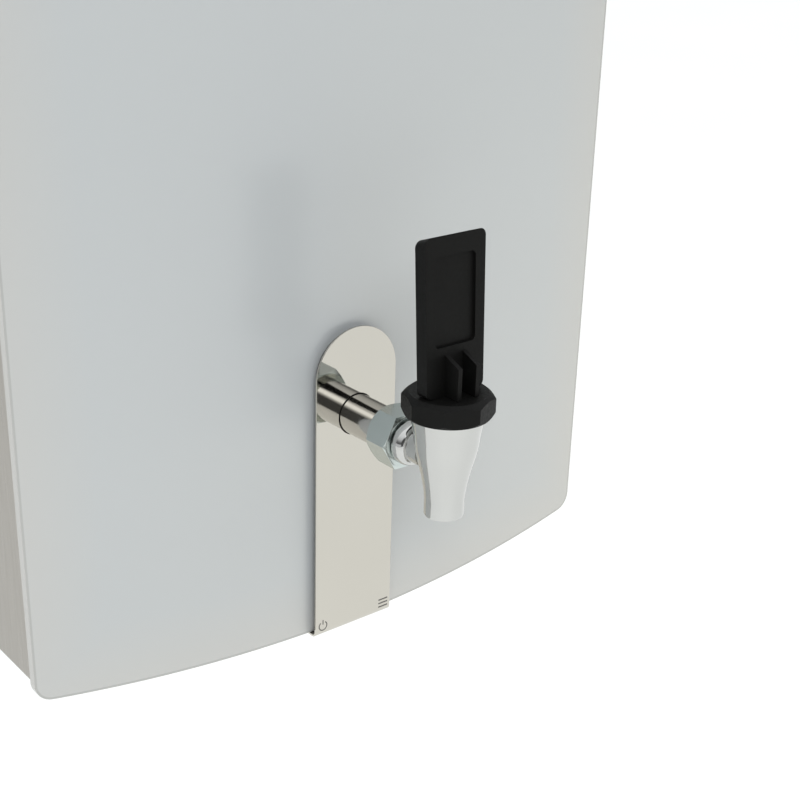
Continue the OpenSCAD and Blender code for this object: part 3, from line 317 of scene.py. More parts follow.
class Sums:
    """Builds the sums and the sheets of one geometry tree."""

    def __init__(self, tree):
        self.tree = tree

    def put(self, socket, value):
        if isinstance(value, (int, float)):
            socket.default_value = value
        else:
            link(self.tree, value, socket)

    def node(self, kind, **inputs):
        node = self.tree.nodes.new(kind)
        for name, value in inputs.items():
            self.put(node.inputs[name.replace("_", " ")], value)
        return node

    def do(self, operation, a, b=0.0):
        node = self.tree.nodes.new("ShaderNodeMath")
        node.operation = operation
        self.put(node.inputs[0], a)
        self.put(node.inputs[1], b)
        return node.outputs[0]

    def circle(self, radius, x):
        """Height of a circle of that radius at distance x from its middle."""
        return self.do("SQRT", self.do("SUBTRACT", self.do("POWER", radius, 2), self.do("POWER", x, 2)))

    def sheet(self, columns, rows, size):
        """A flat square of faces, with the X and the Y of its points."""
        grid = self.node("GeometryNodeMeshGrid", Size_X=size, Size_Y=size)
        grid.inputs["Vertices X"].default_value = columns
        grid.inputs["Vertices Y"].default_value = rows
        position = self.tree.nodes.new("GeometryNodeInputPosition")
        place = self.node("ShaderNodeSeparateXYZ", Vector=position.outputs[0])
        return grid.outputs["Mesh"], place.outputs["X"], place.outputs["Y"]

    def lay(self, mesh, x, y, z):
        """Moves each point of a sheet to its place."""
        spot = self.node("ShaderNodeCombineXYZ", X=x, Y=y, Z=z)
        moved = self.tree.nodes.new("GeometryNodeSetPosition")
        link(self.tree, mesh, moved.inputs["Geometry"])
        link(self.tree, spot.outputs[0], moved.inputs["Position"])
        return moved.outputs["Geometry"]

    def wrap(self, mesh, radius, around, z):
        """Lays a sheet round the Z axis."""
        x = self.do("MULTIPLY", radius, self.do("COSINE", around))
        y = self.do("MULTIPLY", radius, self.do("SINE", around))
        return self.lay(mesh, x, y, z)

    def flip(self, mesh):
        turned = self.tree.nodes.new("GeometryNodeFlipFaces")
        link(self.tree, mesh, turned.inputs["Mesh"])
        return turned.outputs["Mesh"]

    def close(self, *sheets, within=MERGE):
        """One closed shell from sheets whose edges meet."""
        both = self.tree.nodes.new("GeometryNodeJoinGeometry")
        for sheet in sheets:
            link(self.tree, sheet, both.inputs["Geometry"])
        shell = self.node("GeometryNodeMergeByDistance", Distance=within)
        link(self.tree, both.outputs["Geometry"], shell.inputs["Geometry"])
        return shell.outputs["Geometry"]

    def prism(self, radius, height, middle, sides):
        """A cylinder or a prism about the Z axis."""
        solid = self.node("GeometryNodeMeshCylinder", Radius=radius, Depth=height)
        solid.inputs["Vertices"].default_value = sides
        lift = self.node("ShaderNodeCombineXYZ", Z=middle)
        place = self.tree.nodes.new("GeometryNodeTransform")
        link(self.tree, solid.outputs["Mesh"], place.inputs["Geometry"])
        link(self.tree, lift.outputs[0], place.inputs["Translation"])
        return place.outputs["Geometry"]

    def fuse(self, *solids):
        joined = self.tree.nodes.new("GeometryNodeMeshBoolean")
        joined.operation = "UNION"
        for solid in solids:
            link(self.tree, solid, joined.inputs["Mesh 2"])
        return joined.outputs["Mesh"]

    def cut(self, solid, tool):
        drilled = self.tree.nodes.new("GeometryNodeMeshBoolean")
        drilled.operation = "DIFFERENCE"
        link(self.tree, solid, drilled.inputs["Mesh 1"])
        link(self.tree, tool, drilled.inputs["Mesh 2"])
        return drilled.outputs["Mesh"]


def open_tree(name, sizes):
    """A geometry tree with one named input for each size, in metres."""
    tree = bpy.data.node_groups.new(name, "GeometryNodeTree")
    tree.interface.new_socket("Geometry", in_out="INPUT", socket_type="NodeSocketGeometry")
    for size in sizes:
        tree.interface.new_socket(size, in_out="INPUT", socket_type="NodeSocketFloat")
    tree.interface.new_socket("Material", in_out="INPUT", socket_type="NodeSocketMaterial")
    tree.interface.new_socket("Geometry", in_out="OUTPUT", socket_type="NodeSocketGeometry")
    start = tree.nodes.new("NodeGroupInput")
    return tree, start.outputs


def close_tree(tree, geometry, material):
    """Ends a tree with real meshes that carry their material."""
    real = tree.nodes.new("GeometryNodeRealizeInstances")
    dress = tree.nodes.new("GeometryNodeSetMaterial")
    end = tree.nodes.new("NodeGroupOutput")
    link(tree, geometry, real.inputs["Geometry"])
    link(tree, real.outputs["Geometry"], dress.inputs["Geometry"])
    link(tree, material, dress.inputs["Material"])
    link(tree, dress.outputs["Geometry"], end.inputs["Geometry"])


def grow(name, tree, sizes, material, mesh=None):
    """An object whose mesh the tree makes. Each size goes to its socket's identifier."""
    obj = add_object(name, mesh or bpy.data.meshes.new(name))
    modifier = obj.modifiers.new("shape", "NODES")
    modifier.node_group = tree
    for item in tree.interface.items_tree:
        if item.in_out == "INPUT" and item.name in sizes:
            modifier[item.identifier] = sizes[item.name] * MM
        elif item.in_out == "INPUT" and item.name == "Material":
            modifier[item.identifier] = material
    return obj


def bowed_glass_tree():
    """The glass: a grid whose columns end on the arch or the round corner, bowed across and thickened."""
    tree, size = open_tree("bowed_glass", GLASS)
    s = Sums(tree)
    grid, across, up = s.sheet(161, 121, 2.0)
    half, bow, centre = size["Half Width"], size["Bow Radius"], size["Bow Centre"]
    # Columns and rows crowd towards the edges, so that the round corners and the rim are smooth
    x = s.do("MULTIPLY", half, s.do("SINE", s.do("MULTIPLY", across, math.pi / 2)))
    away = s.do("ABSOLUTE", x)
    rise = s.do("SUBTRACT", size["End Height"], size["Corner Height"])
    squares = s.do("ADD", s.do("POWER", half, 2), s.do("POWER", rise, 2))
    arch = s.do("DIVIDE", squares, s.do("MULTIPLY", rise, 2))
    arch_z = s.do("SUBTRACT", size["End Height"], arch)
    corner = size["Corner Radius"]
    corner_x = s.do("SUBTRACT", half, corner)
    inner = s.do("SUBTRACT", arch, corner)
    corner_z = s.do("ADD", arch_z, s.circle(inner, corner_x))
    touch = s.do("DIVIDE", s.do("MULTIPLY", corner_x, arch), inner)
    in_corner = s.do("MINIMUM", s.do("MAXIMUM", s.do("SUBTRACT", away, corner_x), 0), corner)
    on_arch = s.do("ADD", arch_z, s.circle(arch, away))
    on_corner = s.do("ADD", corner_z, s.circle(corner, in_corner))
    past = s.do("GREATER_THAN", away, touch)
    before = s.do("SUBTRACT", 1, past)
    top = s.do("ADD", s.do("MULTIPLY", on_corner, past), s.do("MULTIPLY", on_arch, before))
    y = s.do("SUBTRACT", centre, s.circle(bow, away))
    z = s.do("MULTIPLY", top, s.do("SINE", s.do("MULTIPLY", up, math.pi / 2)))
    front = s.lay(grid, x, y, z)
    # Thickness: the face is pushed back along Y, and the first face is kept as the front
    push = s.node("GeometryNodeExtrudeMesh")
    push.inputs["Individual"].default_value = False
    depth = s.node("ShaderNodeCombineXYZ", Y=size["Thickness"])
    link(tree, front, push.inputs["Mesh"])
    link(tree, depth.outputs[0], push.inputs["Offset"])
    shell = s.close(s.flip(push.outputs["Mesh"]), front)
    # The hole that the tap's tube goes through
    rod = s.node("GeometryNodeMeshCylinder", Radius=size["Hole Radius"], Depth=0.1)
    rod.inputs["Vertices"].default_value = 96
    place = s.node("GeometryNodeTransform")
    place.inputs["Rotation"].default_value = (math.pi / 2, 0, 0)
    move = s.node("ShaderNodeCombineXYZ", Y=s.do("SUBTRACT", centre, bow), Z=size["Hole Height"])
    link(tree, move.outputs[0], place.inputs["Translation"])
    link(tree, rod.outputs["Mesh"], place.inputs["Geometry"])
    smooth = tree.nodes.new("GeometryNodeSetShadeSmooth")
    link(tree, s.cut(shell, place.outputs["Geometry"]), smooth.inputs["Geometry"])
    close_tree(tree, smooth.outputs["Geometry"], size["Material"])
    return tree


def distance_in(x, z):
    """How far a point lies inside the glass's outline, in millimetres."""
    half, end, corner = GLASS["Half Width"], GLASS["End Height"], GLASS["Corner Radius"]
    rise = end - GLASS["Corner Height"]
    arch = (half * half + rise * rise) / (2 * rise)
    centre = end - arch
    inside = min(half - abs(x), arch - math.hypot(x, abs(z) - centre))
    corner_x = half - corner
    corner_z = centre + math.sqrt((arch - corner) ** 2 - corner_x ** 2)
    if abs(x) > corner_x and abs(z) > corner_z:
        inside = corner - math.hypot(abs(x) - corner_x, abs(z) - corner_z)
    return max(inside, 0)


def make_glass(material):
    obj = settle(soften(grow("glass_panel", bowed_glass_tree(), GLASS, material), 0.7, 2, 50))
    # How far each point lies inside the outline, which the glass's finish uses to paint highlight and shade near
    # its edge
    inset = obj.data.attributes.new("inset", "FLOAT", "POINT")
    for i, vert in enumerate(obj.data.vertices):
        inset.data[i].value = distance_in(vert.co.x / MM, vert.co.z / MM)
    keep(obj, "glass_panel", "boiler", material, ["glass_front"])


def paint_edge_light(material, stops):
    """Paints light and shade into a finish's colour by the distance from the piece's edge, which the piece holds
    as an attribute.
    """
    tree = material.node_tree
    shader = tree.nodes["Principled BSDF"]
    body = shader.inputs["Base Color"].links[0].from_socket
    inset = tree.nodes.new("ShaderNodeAttribute")
    inset.attribute_name = "inset"
    reach = stops[-1][0]
    part = spread(tree, inset.outputs["Fac"], 0, 1, 0, reach)
    edge = shades(tree, part, [(spot / reach, shade) for spot, shade in stops])
    mix = tree.nodes.new("ShaderNodeMix")
    mix.data_type = "RGBA"
    mix.blend_type = "MULTIPLY"
    # A Mix node holds the sockets of every type in one row, and these are the ones for colours
    factor, first, second, result = mix.inputs[0], mix.inputs[6], mix.inputs[7], mix.outputs[2]
    factor.default_value = 1
    link(tree, body, first)
    link(tree, edge, second)
    link(tree, result, shader.inputs["Base Color"])


SCREW = {
    "Head Radius": 3.6,
    "Head Height": 1.9,
    "Shank Radius": 2,
    "Length": 7,
    "Key Radius": 1.45,
    "Key Depth": 1.1,
}


def screw_tree():
    """Button-head screws on points, each turned to its own sheet, with a six-sided key hole."""
    tree, size = open_tree("button_head_screws", SCREW)
    s = Sums(tree)
    dome, across, up = s.sheet(33, 8, 1.0)
    around = s.do("MULTIPLY", across, 2 * math.pi)
    climb = s.do("MULTIPLY", s.do("ADD", up, 0.5), math.pi / 2)
    # The dome is flatter than an ellipse, so its rim is steep and its top nearly level
    rim_power, top_power = 0.75, 0.8
    reach = s.do("POWER", s.do("MAXIMUM", s.do("COSINE", climb), 0), rim_power)
    radius = s.do("MULTIPLY", size["Head Radius"], reach)
    height = s.do("MULTIPLY", size["Head Height"], s.do("POWER", s.do("SINE", climb), top_power))
    under = s.node("GeometryNodeMeshCircle", Radius=size["Head Radius"])
    under.fill_type = "NGON"
    under.inputs["Vertices"].default_value = 32
    head = s.close(s.wrap(dome, radius, around, height), s.flip(under.outputs["Mesh"]), within=2 * MERGE)
    # The shank starts just inside the head, and the key hole is open at the top
    shank_middle, key_length = -0.49, 0.004
    shank = s.prism(size["Shank Radius"], size["Length"], s.do("MULTIPLY", size["Length"], shank_middle), 24)
    key_low = s.do("SUBTRACT", size["Head Height"], size["Key Depth"])
    key = s.prism(size["Key Radius"], key_length, s.do("ADD", key_low, key_length / 2), 6)
    away = tree.nodes.new("GeometryNodeInputNamedAttribute")
    away.data_type = "FLOAT_VECTOR"
    away.inputs["Name"].default_value = "away"
    aim = tree.nodes.new("FunctionNodeAlignRotationToVector")
    aim.axis = "Z"
    link(tree, away.outputs["Attribute"], aim.inputs["Vector"])
    chance = s.node("FunctionNodeRandomValue", Seed=7)
    chance.data_type = "FLOAT"
    twist = s.node("ShaderNodeCombineXYZ", Z=s.do("MULTIPLY", chance.outputs["Value"], math.pi))
    turn = tree.nodes.new("FunctionNodeEulerToRotation")
    link(tree, twist.outputs[0], turn.inputs[0])
    rotation = tree.nodes.new("FunctionNodeRotateRotation")
    rotation.rotation_space = "LOCAL"
    link(tree, aim.outputs[0], rotation.inputs["Rotation"])
    link(tree, turn.outputs[0], rotation.inputs["Rotate By"])
    copies = tree.nodes.new("GeometryNodeInstanceOnPoints")
    link(tree, size["Geometry"], copies.inputs["Points"])
    link(tree, s.cut(s.fuse(head, shank), key), copies.inputs["Instance"])
    link(tree, rotation.outputs[0], copies.inputs["Rotation"])
    close_tree(tree, copies.outputs["Instances"], size["Material"])
    return tree


def casing_screw_places():
    """Where the casing's screws sit, in millimetres, and which way each head faces."""
    side, low, high = CASE_W / 2, -CASE_H / 2, CASE_H / 2
    wall, row = -FLANGE_H / 2, high - 90
    top_x, front_x, strip_x = side - 55, side - 41.5, 13
    foot_y, front_y, strip_y = -70, 9 - CASE_D, STRIP_BACK_Y + 6.5
    strip_thick = 1
    places = []
    for s in (-1, 1):
        places += [((s * side, wall, z * row), (s, 0, 0)) for z in (-1, 0, 1)]
        places.append(((s * top_x, wall, high), (0, 0, 1)))
        places.append(((s * side, foot_y, low + FLANGE_H / 2), (s, 0, 0)))
        places.append(((s * front_x, front_y, low), (0, 0, -1)))
        places.append(((s * strip_x, strip_y, low - strip_thick), (0, 0, -1)))
    return places


def make_screws(material):
    places = casing_screw_places()
    mesh = bpy.data.meshes.new("casing_screws")
    mesh.from_pydata([Vector(spot) * MM for spot, away in places], [], [])
    facing = mesh.attributes.new("away", "FLOAT_VECTOR", "POINT")
    for i, (spot, away) in enumerate(places):
        facing.data[i].vector = away
    obj = settle(grow("casing_screws", screw_tree(), SCREW, material, mesh))
    shade_by_angle(obj, 40)
    keep(obj, "casing_screws", "boiler", material, ["case_screws"])


THREAD = {
    "Crest Radius": 13.2,
    "Root Radius": 12.1,
    "Bore Radius": 11.5,
    "Pitch": 1.814,
    "Length": 11.6,
}


def thread_tree():
    """A pipe thread: a sleeve whose outside rises and falls once for each turn, and runs out at both ends."""
    tree, size = open_tree("pipe_thread", THREAD)
    s = Sums(tree)
    length, pitch, root, bore = size["Length"], size["Pitch"], size["Root Radius"], size["Bore Radius"]

    def wall(rows, radius_of, height_of):
        """One side of the sleeve. Its radius and its height follow from how far along it a point is."""
        mesh, across, up = s.sheet(73, rows, 1.0)
        part = s.do("ADD", up, 0.5)
        around = s.do("MULTIPLY", across, 2 * math.pi)
        return s.wrap(mesh, radius_of(part, around), around, height_of(part))

    def ridge(part, around):
        height = s.do("MULTIPLY", part, length)
        turns = s.do("SUBTRACT", s.do("MULTIPLY", s.do("DIVIDE", height, pitch), 2 * math.pi), around)
        wave = s.do("ADD", s.do("MULTIPLY", s.do("COSINE", turns), 0.5), 0.5)
        from_end = s.do("MINIMUM", height, s.do("SUBTRACT", length, height))
        run_out = s.do("MINIMUM", s.do("DIVIDE", from_end, pitch), 1)
        depth = s.do("SUBTRACT", size["Crest Radius"], root)
        return s.do("ADD", root, s.do("MULTIPLY", depth, s.do("MULTIPLY", wave, run_out)))

    def rim(part, around):
        return s.do("ADD", bore, s.do("MULTIPLY", part, s.do("SUBTRACT", root, bore)))

    shell = s.close(
        wall(66, ridge, lambda part: s.do("MULTIPLY", part, length)),
        s.flip(wall(2, lambda part, around: bore, lambda part: s.do("MULTIPLY", part, length))),
        wall(2, rim, lambda part: 0),
        s.flip(wall(2, rim, lambda part: length)),
    )
    close_tree(tree, shell, size["Material"])
    return tree


def make_inlet_thread(material):
    obj = settle(grow("inlet_thread", thread_tree(), THREAD, material))
    below_base = 18
    obj.data.transform(Matrix.Translation(Vector((*VALVE, -CASE_H / 2 - below_base)) * MM))
    shade_by_angle(obj, 50)
    keep(obj, "inlet_thread", "boiler", material)


# Marks on the strip: thin print, a hair proud of the steel


def ring_part(bm, centre, inner, outer, first, last, y):
    """A flat arc of a ring in the plane of the strip, from one angle to another, in degrees."""
    steps = 40
    rows = []
    for i in range(steps + 1):
        a = math.radians(first + (last - first) * i / steps)
        rows.append([
            bm.verts.new(Vector((centre[0] + r * math.cos(a), y, centre[1] + r * math.sin(a))) * MM)
            for r in (inner, outer)
        ])
    for a, b in zip(rows, rows[1:]):
        bm.faces.new((a[0], b[0], b[1], a[1]))


def bar(bm, centre, width, height, y):
    corners = [(-1, -1), (1, -1), (1, 1), (-1, 1)]
    bm.faces.new([
        bm.verts.new(Vector((centre[0] + sx * width / 2, y, centre[1] + sz * height / 2)) * MM)
        for sx, sz in corners
    ])


def make_mark(name, draw, material):
    gap, thick = 0.01, 0.03
    bm = bmesh.new()
    draw(bm, STRIP_FACE_Y - gap)
    solid = bmesh.ops.extrude_face_region(bm, geom=bm.faces[:])
    for vert in [v for v in solid["geom"] if isinstance(v, bmesh.types.BMVert)]:
        vert.co.y -= thick * MM
    bmesh.ops.recalc_face_normals(bm, faces=bm.faces)
    mesh = bpy.data.meshes.new(name)
    bm.to_mesh(mesh)
    bm.free()
    keep(add_object(name, mesh), name, "boiler", material)


def draw_standby(bm, y):
    """An open ring with a stroke in its gap."""
    centre = (-17.8, STRIP_LOW + 5.4)
    ring_part(bm, centre, 1.95, 2.5, 125, 415, y)
    bar(bm, (centre[0], centre[1] + 1.9), 0.55, 2.4, y)


def draw_function(bm, y):
    """Three level bars."""
    centre, pitch = (17.9, STRIP_LOW + 5.7), 1.9
    for i in (-1, 0, 1):
        bar(bm, (centre[0], centre[1] + pitch * i), 5.4, 0.7, y)


# The tap's body: the barrel and its tail are turned shapes, drawn as closed outlines


def turned_solid(name, outline, along, centre, steps=96):
    """A closed solid of revolution. outline is a ring of (radius, distance along the axis)."""
    bm = bmesh.new()
    rings = []
    for i in range(steps):
        a = 2 * math.pi * i / steps
        ring = []
        for r, h in outline:
            right, out = r * math.cos(a), r * math.sin(a)
            spot = (right, out, h) if along == "Z" else (right, -h, out)
            ring.append(bm.verts.new((Vector(spot) + Vector(centre)) * MM))
        rings.append(ring)
    count = len(outline)
    for i, ring in enumerate(rings):
        following = rings[(i + 1) % steps]
        for j in range(count):
            k = (j + 1) % count
            bm.faces.new((ring[j], following[j], following[k], ring[k]))
    bmesh.ops.recalc_face_normals(bm, faces=bm.faces)
    mesh = bpy.data.meshes.new(name)
    bm.to_mesh(mesh)
    bm.free()
    return add_object(name, mesh)


def curve_points(a, b, c, d, steps):
    """Points on a cubic curve between a and d, without its first point."""
    points = []
    for i in range(1, steps + 1):
        t = i / steps
        weights = ((1 - t) ** 3, 3 * t * (1 - t) ** 2, 3 * t * t * (1 - t), t ** 3)
        points.append(tuple(sum(w * p[k] for w, p in zip(weights, (a, b, c, d))) for k in (0, 1)))
    return points


def barrel_outline():
    """Down the outside from the neck, over the flare and the waist to the spout, and up through the bores."""
    top, shoulder, neck, chamber = 20.9, 26.4, 12.5, 9.5
    flare = [(15.5, top - 0.3), (15.4, top - 1.2)]
    waist = curve_points(flare[-1], (14.7, 15.5), (14.1, 13), (13.9, 10.5), 8)
    belly = curve_points(waist[-1], (13.2, 1.5), (9.9, -4), (8.55, -17), 18)
    tip = [(8.55, -23.9), (8.3, -24.6), (7.9, -24.8), (7.1, -24.8), (6.8, -24.4)]
    bores = [(6.8, -8.5), (5, -8.5), (5, -4.5), (chamber, -4.5), (chamber, shoulder)]
    return [(neck, shoulder), (neck, top), (15.2, top)] + flare + waist + belly + tip + bores


def tail_outline():
    """From the collar inside the nut, out over the rounded bead at the nut's face, to the barrel's wall."""
    start, end, collar_thick, crown, bell = -5.7, TAIL_REACH - 11, 1.8, 1.3, 5.2
    collar, neck, bore, bead, stalk = 9.0, 7.2, 4.4, 10.3, 7.5
    quarter = [math.pi / 2 * i / 8 for i in range(9)]
    outline = [(bore, start), (collar, start), (collar, start + collar_thick), (neck, start + collar_thick)]
    outline += [(neck + (bead - neck) * math.sin(a), 1 - math.cos(a)) for a in quarter]
    outline += [(stalk + (bead - stalk) * math.cos(a), crown + bell * math.sin(a)) for a in quarter]
    return outline + [(stalk, end), (bore, end)]


def cut_with(obj, tool, operation):
    """Joins or cuts a solid with another one, which is used up."""
    step = obj.modifiers.new(operation.lower(), "BOOLEAN")
    step.operation = operation
    step.solver = "EXACT"
    step.object = tool
    settle(obj)
    bpy.data.objects.remove(tool)


def make_tap_body(material):
    body = turned_solid("tap_barrel", barrel_outline(), "Z", (0, TAP_Y, TAP_Z))
    root = (0, TAP_Y + TAIL_REACH, TAP_Z)
    cut_with(body, turned_solid("tail", tail_outline(), "Y", root, 64), "UNION")
    # The port's tool is a ring with a hair's width left open, so a needle stays at the port's axis
    middle, port, first, last = 0.01, 4.3, 10, 19
    outline = [(middle, first), (port, first), (port, last), (middle, last)]
    cut_with(body, turned_solid("port", outline, "Y", root, 48), "DIFFERENCE")
    soften(body, 0.35, 2, 35)
    keep(settle(body), "tap_barrel", "boiler", material, ["tap_body"])


# Visible pieces of the casing and the tap, taken from the construction with rounded edges


def mould_lever(bm):
    """Widens the lever's plate to its top and slopes the top, lowers the recess, and draws the ribs in."""
    lean = math.tan(math.radians(3.25))
    plate_low, plate_top, plate_height, shoulder, plate_side = -4.5, 59.7, 64, 56.5, 12.4
    wider_top, slimmer_foot, drop_behind, rise_before = 0.012, 0.026, -0.2, 1.7
    rib_in, toe_back, toe_sink, recess_drop = 0.5, 2.5, 0.6, 1.8
    rim = set()
    for vert in bm.verts:
        x, y, z = vert.co / MM - Vector((0, TAP_Y, PIN_Z))
        depth = y - z * lean
        in_rib = 4.1 < abs(x) < 6.4 and y < -3 and z < 14.5
        in_toe = y < -12
        in_recess = 16 < z < 22 and abs(x) < 10.6 and depth < -1.9
        at_edge = abs(x) > plate_side or z > shoulder
        if in_rib:
            vert.co.x -= math.copysign(rib_in, x) * MM
        if in_toe:
            vert.co.y += toe_back * MM
            vert.co.z -= (toe_sink if z > 5 else 0) * MM
        if in_recess:
            vert.co.z -= recess_drop * MM
        if at_edge:
            wider = wider_top * (z - plate_low) / plate_height
            slimmer = slimmer_foot * (plate_top - z) / plate_height
            vert.co.x += x * (wider - slimmer) * MM
        if z > shoulder:
            vert.co.z += (drop_behind if depth > 0 else rise_before) * MM
        if at_edge and z > -4.4:
            rim.add(vert)
    edges = [e for e in bm.edges if rim.issuperset(e.verts) and e.calc_face_angle(0) > 1]
    bmesh.ops.bevel(
        bm, geom=edges, offset=1.6 * MM, segments=4, profile=0.5, affect="EDGES", clamp_overlap=True
    )


def slim_inlet(bm):
    """Turns the inlet's plain end down to the root of its thread."""
    thread_start, outside, root = -6.2, 12.5, 11.9
    for vert in bm.verts:
        x, y, z = vert.co / MM - Vector((*VALVE, -CASE_H / 2))
        if z < thread_start and math.hypot(x, y) > outside:
            shrink = root / math.hypot(x, y)
            vert.co.x = (VALVE[0] + x * shrink) * MM
            vert.co.y = (VALVE[1] + y * shrink) * MM


def mould_nut(bm):
    """Brings the union nut's front face forward and makes its chamfer shallow."""
    chamfer, shallow = 1.5, 0.35
    for vert in bm.verts:
        inside = vert.co.y / MM - NUT_FRONT_Y
        if inside < chamfer:
            vert.co.y = (NUT_FRONT_Y - NUT_FORWARD + shallow * inside) * MM


def make_fine_pieces(stuff):
    """Each row is a construction piece, its new name, body and slot, and how wide and fine its edges are."""
    plan = [
        ("case_wrap", "side_panels", "boiler", "stainless", 0.25, 2),
        ("base_panel", "underside", "boiler", "stainless", 0.25, 2),
        ("tap_strip", "mirror_strip", "boiler", "mirror_steel", 0.12, 2),
        ("tap_nut", "union_nut", "boiler", "nickel", 0.3, 2),
        ("tap_shank", "tap_tube", "boiler", "tube_steel", 0.3, 2),
        ("shank_grommet", "tube_grommet", "boiler", "black_rubber", 0.3, 2),
        ("bonnet", "tap_bonnet", "boiler", "black_plastic", 0.5, 3),
        ("tap_lever", "lever_plate", "lever", "black_plastic", 0.35, 2),
        ("standby_button", "standby_cap", "standby_push", "black_plastic", 0.4, 3),
        ("function_button", "function_cap", "function_push", "black_plastic", 0.4, 3),
        ("inlet_valve", "fill_valve", "boiler", "brass", 0.3, 2),
        ("inlet_locknut", "inlet_nut", "boiler", "brass", 0.4, 2),
        ("drain_cap", "drain_plug", "boiler", "brass", 0.4, 2),
        ("cable_gland", "flex_gland", "boiler", "black_plastic", 0.4, 2),
    ]
    shapes = {"tap_nut": mould_nut, "tap_lever": mould_lever, "inlet_valve": slim_inlet}
    for node, name, body, slot, width, segments in plan:
        piece = refined(node, width, segments, shape=shapes.get(node))
        keep(piece, name, body, stuff[slot], [node])


def make_coils(material):
    """Each spring that a joint deforms becomes a merged copy with slightly rounded ends, on a mesh of its own."""
    for joint in frame["joints"]:
        for part in joint.get("deforming_nodes", ()):
            node = part["node"]
            piece = refined(node, 0.1, 1, 80)
            keep(piece, node.replace("spring", "coil"), "boiler", material, [node])
            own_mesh(piece)


def dress_frame(stuff):
    """Gives each construction piece that stays the finish of its own slot."""
    slots = {part["node"]: part["material_slot"] for part in frame["record"]["subparts"]}
    for name, obj in nodes.items():
        for holder in obj.material_slots:
            holder.link = "OBJECT"
            holder.material = stuff[slots[name]]
        if not obj.material_slots:
            obj.data.materials.append(stuff[slots[name]])


# Studio


def make_floor():
    mesh = bpy.data.meshes.new("floor")
    # The floor ends sooner at the front and the left, where a black card stands in the studio
    near, far, low = -4.5, 12, -1.25
    corners = [(near, near, low), (far, near, low), (far, far, low), (near, far, low)]
    mesh.from_pydata(corners, [], [(0, 1, 2, 3)])
    obj = add_object("floor", mesh)
    mesh.materials.append(finish(
        "pale_floor", (0.90, 0.905, 0.885), (0.92, 0.925, 0.905), (0.7, 0.8), scale=8, patch=1, depth=0.0001,
        Emission_Color=(1, 1, 0.99, 1), Emission_Strength=0.14,
    ))


def card(tree, level, direction, toward, wide, core, target):
    """Brings the studio's light to another level inside a soft-edged cone, as a card there does."""
    facing = tree.nodes.new("ShaderNodeVectorMath")
    facing.operation = "DOT_PRODUCT"
    facing.inputs[1].default_value = Vector(toward).normalized()
    link(tree, direction, facing.inputs[0])
    edge = tree.nodes.new("ShaderNodeMapRange")
    edge.interpolation_type = "SMOOTHSTEP"
    edge.inputs["From Min"].default_value = math.cos(math.radians(wide))
    edge.inputs["From Max"].default_value = math.cos(math.radians(core))
    link(tree, facing.outputs["Value"], edge.inputs["Value"])
    mixed = tree.nodes.new("ShaderNodeMix")
    mixed.inputs["B"].default_value = target
    link(tree, edge.outputs["Result"], mixed.inputs["Factor"])
    link(tree, level, mixed.inputs["A"])
    return mixed.outputs["Result"]


def make_world():
    """Soft studio light: bright overhead, a dim band just over the floor, and a plain pale backdrop."""
    world = bpy.data.worlds.new("studio")
    scene.world = world
    world.use_nodes = True
    tree = world.node_tree
    shade = tree.nodes["Background"]
    shade.inputs["Color"].default_value = (0.98, 1, 1.02, 1)
    place = tree.nodes.new("ShaderNodeTexCoord")
    split = tree.nodes.new("ShaderNodeSeparateXYZ")
    direction = place.outputs["Generated"]
    link(tree, direction, split.inputs[0])
    height = spread(tree, split.outputs["Z"], 0, 1, -1, 1)
    level = shades(tree, height, [(spot, (light, light, light)) for spot, light in SKY])
    for each in (BRIGHT_CARD, BLACK_CARD):
        level = card(tree, level, direction, **each)
    link(tree, level, shade.inputs["Strength"])
    plain = tree.nodes.new("ShaderNodeBackground")
    plain.inputs["Color"].default_value = (1, 1, 1, 1)
    seen = tree.nodes.new("ShaderNodeLightPath")
    mix = tree.nodes.new("ShaderNodeMixShader")
    link(tree, seen.outputs["Is Camera Ray"], mix.inputs[0])
    link(tree, shade.outputs[0], mix.inputs[1])
    link(tree, plain.outputs[0], mix.inputs[2])
    link(tree, mix.outputs[0], tree.nodes["World Output"].inputs["Surface"])


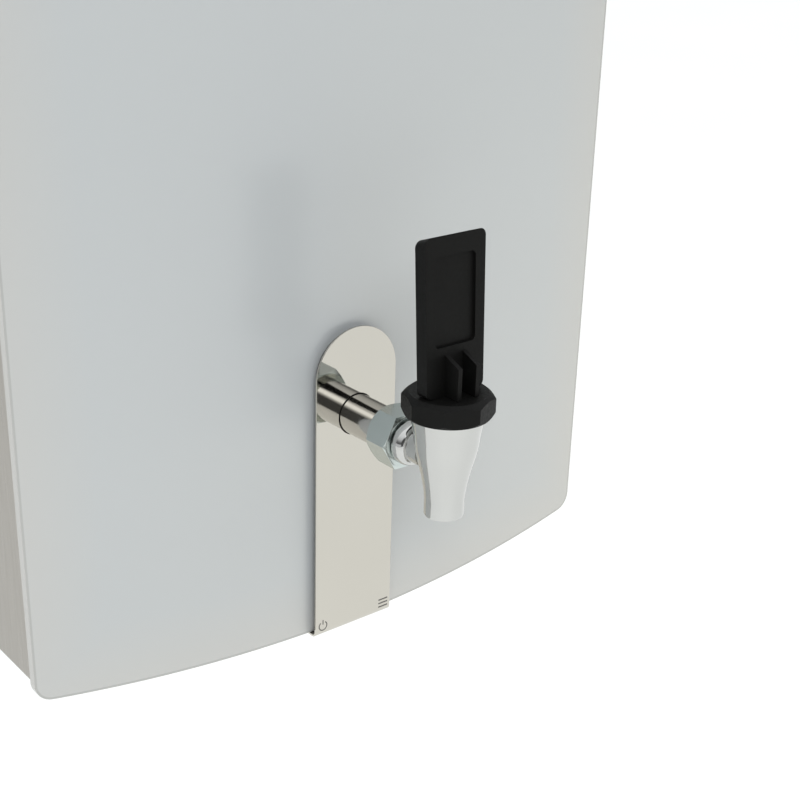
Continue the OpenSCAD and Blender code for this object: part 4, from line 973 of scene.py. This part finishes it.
def add_softbox(name, spot, target, side, power, colour=(1, 1, 1)):
    """A square lamp that lights the object and isn't seen in its gloss."""
    lamp = bpy.data.lights.new(name, "AREA")
    lamp.shape = "RECTANGLE"
    lamp.size = side
    lamp.size_y = side
    lamp.energy = power
    lamp.color = colour
    obj = add_object(name, lamp)
    obj.location = spot
    obj.rotation_euler = (Vector(target) - Vector(spot)).to_track_quat("-Z", "Y").to_euler()
    obj.visible_glossy = False


def make_camera():
    """The photograph's view: from the left, above the tap, and looking down."""
    yaw, pitch, roll = (math.radians(a) for a in CAMERA_TURN)
    ahead = Vector((math.sin(yaw) * math.cos(pitch), math.cos(yaw) * math.cos(pitch), -math.sin(pitch)))
    level = Vector((math.cos(yaw), -math.sin(yaw), 0))
    up = level.cross(ahead)
    right = level * math.cos(roll) + up * math.sin(roll)
    top = up * math.cos(roll) - level * math.sin(roll)
    data = bpy.data.cameras.new("camera")
    data.sensor_width = 36
    data.lens = data.sensor_width * FOCAL / FRAME
    data.shift_x = (FRAME / 2 - LENS_CENTRE[0]) / FRAME
    data.shift_y = (LENS_CENTRE[1] - FRAME / 2) / FRAME
    data.clip_end = 60
    camera = add_object("camera", data)
    turn = Matrix((right, top, -ahead)).transposed().to_4x4()
    camera.matrix_world = Matrix.Translation(CAMERA_SPOT) @ turn
    scene.camera = camera


def main():
    scene.view_settings.view_transform = "Standard"
    make_camera()
    stuff = make_materials()
    dress_frame(stuff)
    # The glass's edge gets a painted highlight, a line of painted shade and a band of painted light through these
    # stops
    paint_edge_light(stuff["glass"], GLASS_EDGE_PAINTED_LIGHT)
    make_glass(stuff["glass"])
    make_fine_pieces(stuff)
    make_coils(stuff["spring_steel"])
    make_tap_body(stuff["chrome"])
    make_screws(stuff["zinc"])
    make_inlet_thread(stuff["brass"])
    ink = finish("printed_ink", (0.10, 0.098, 0.09), (0.13, 0.127, 0.12), (0.5, 0.6), scale=500, patch=200)
    make_mark("standby_mark", draw_standby, ink)
    make_mark("function_mark", draw_function, ink)
    make_floor()
    make_world()
    add_softbox("high_left", (-1.1, -2.1, 1.5), (0, -0.2, -0.2), 1.2, 20)
    add_softbox("warm_low_right", (0.36, -0.52, -0.5), (0.12, -0.19, -0.22), 0.6, 0.5, (1, 0.78, 0.35))


main()
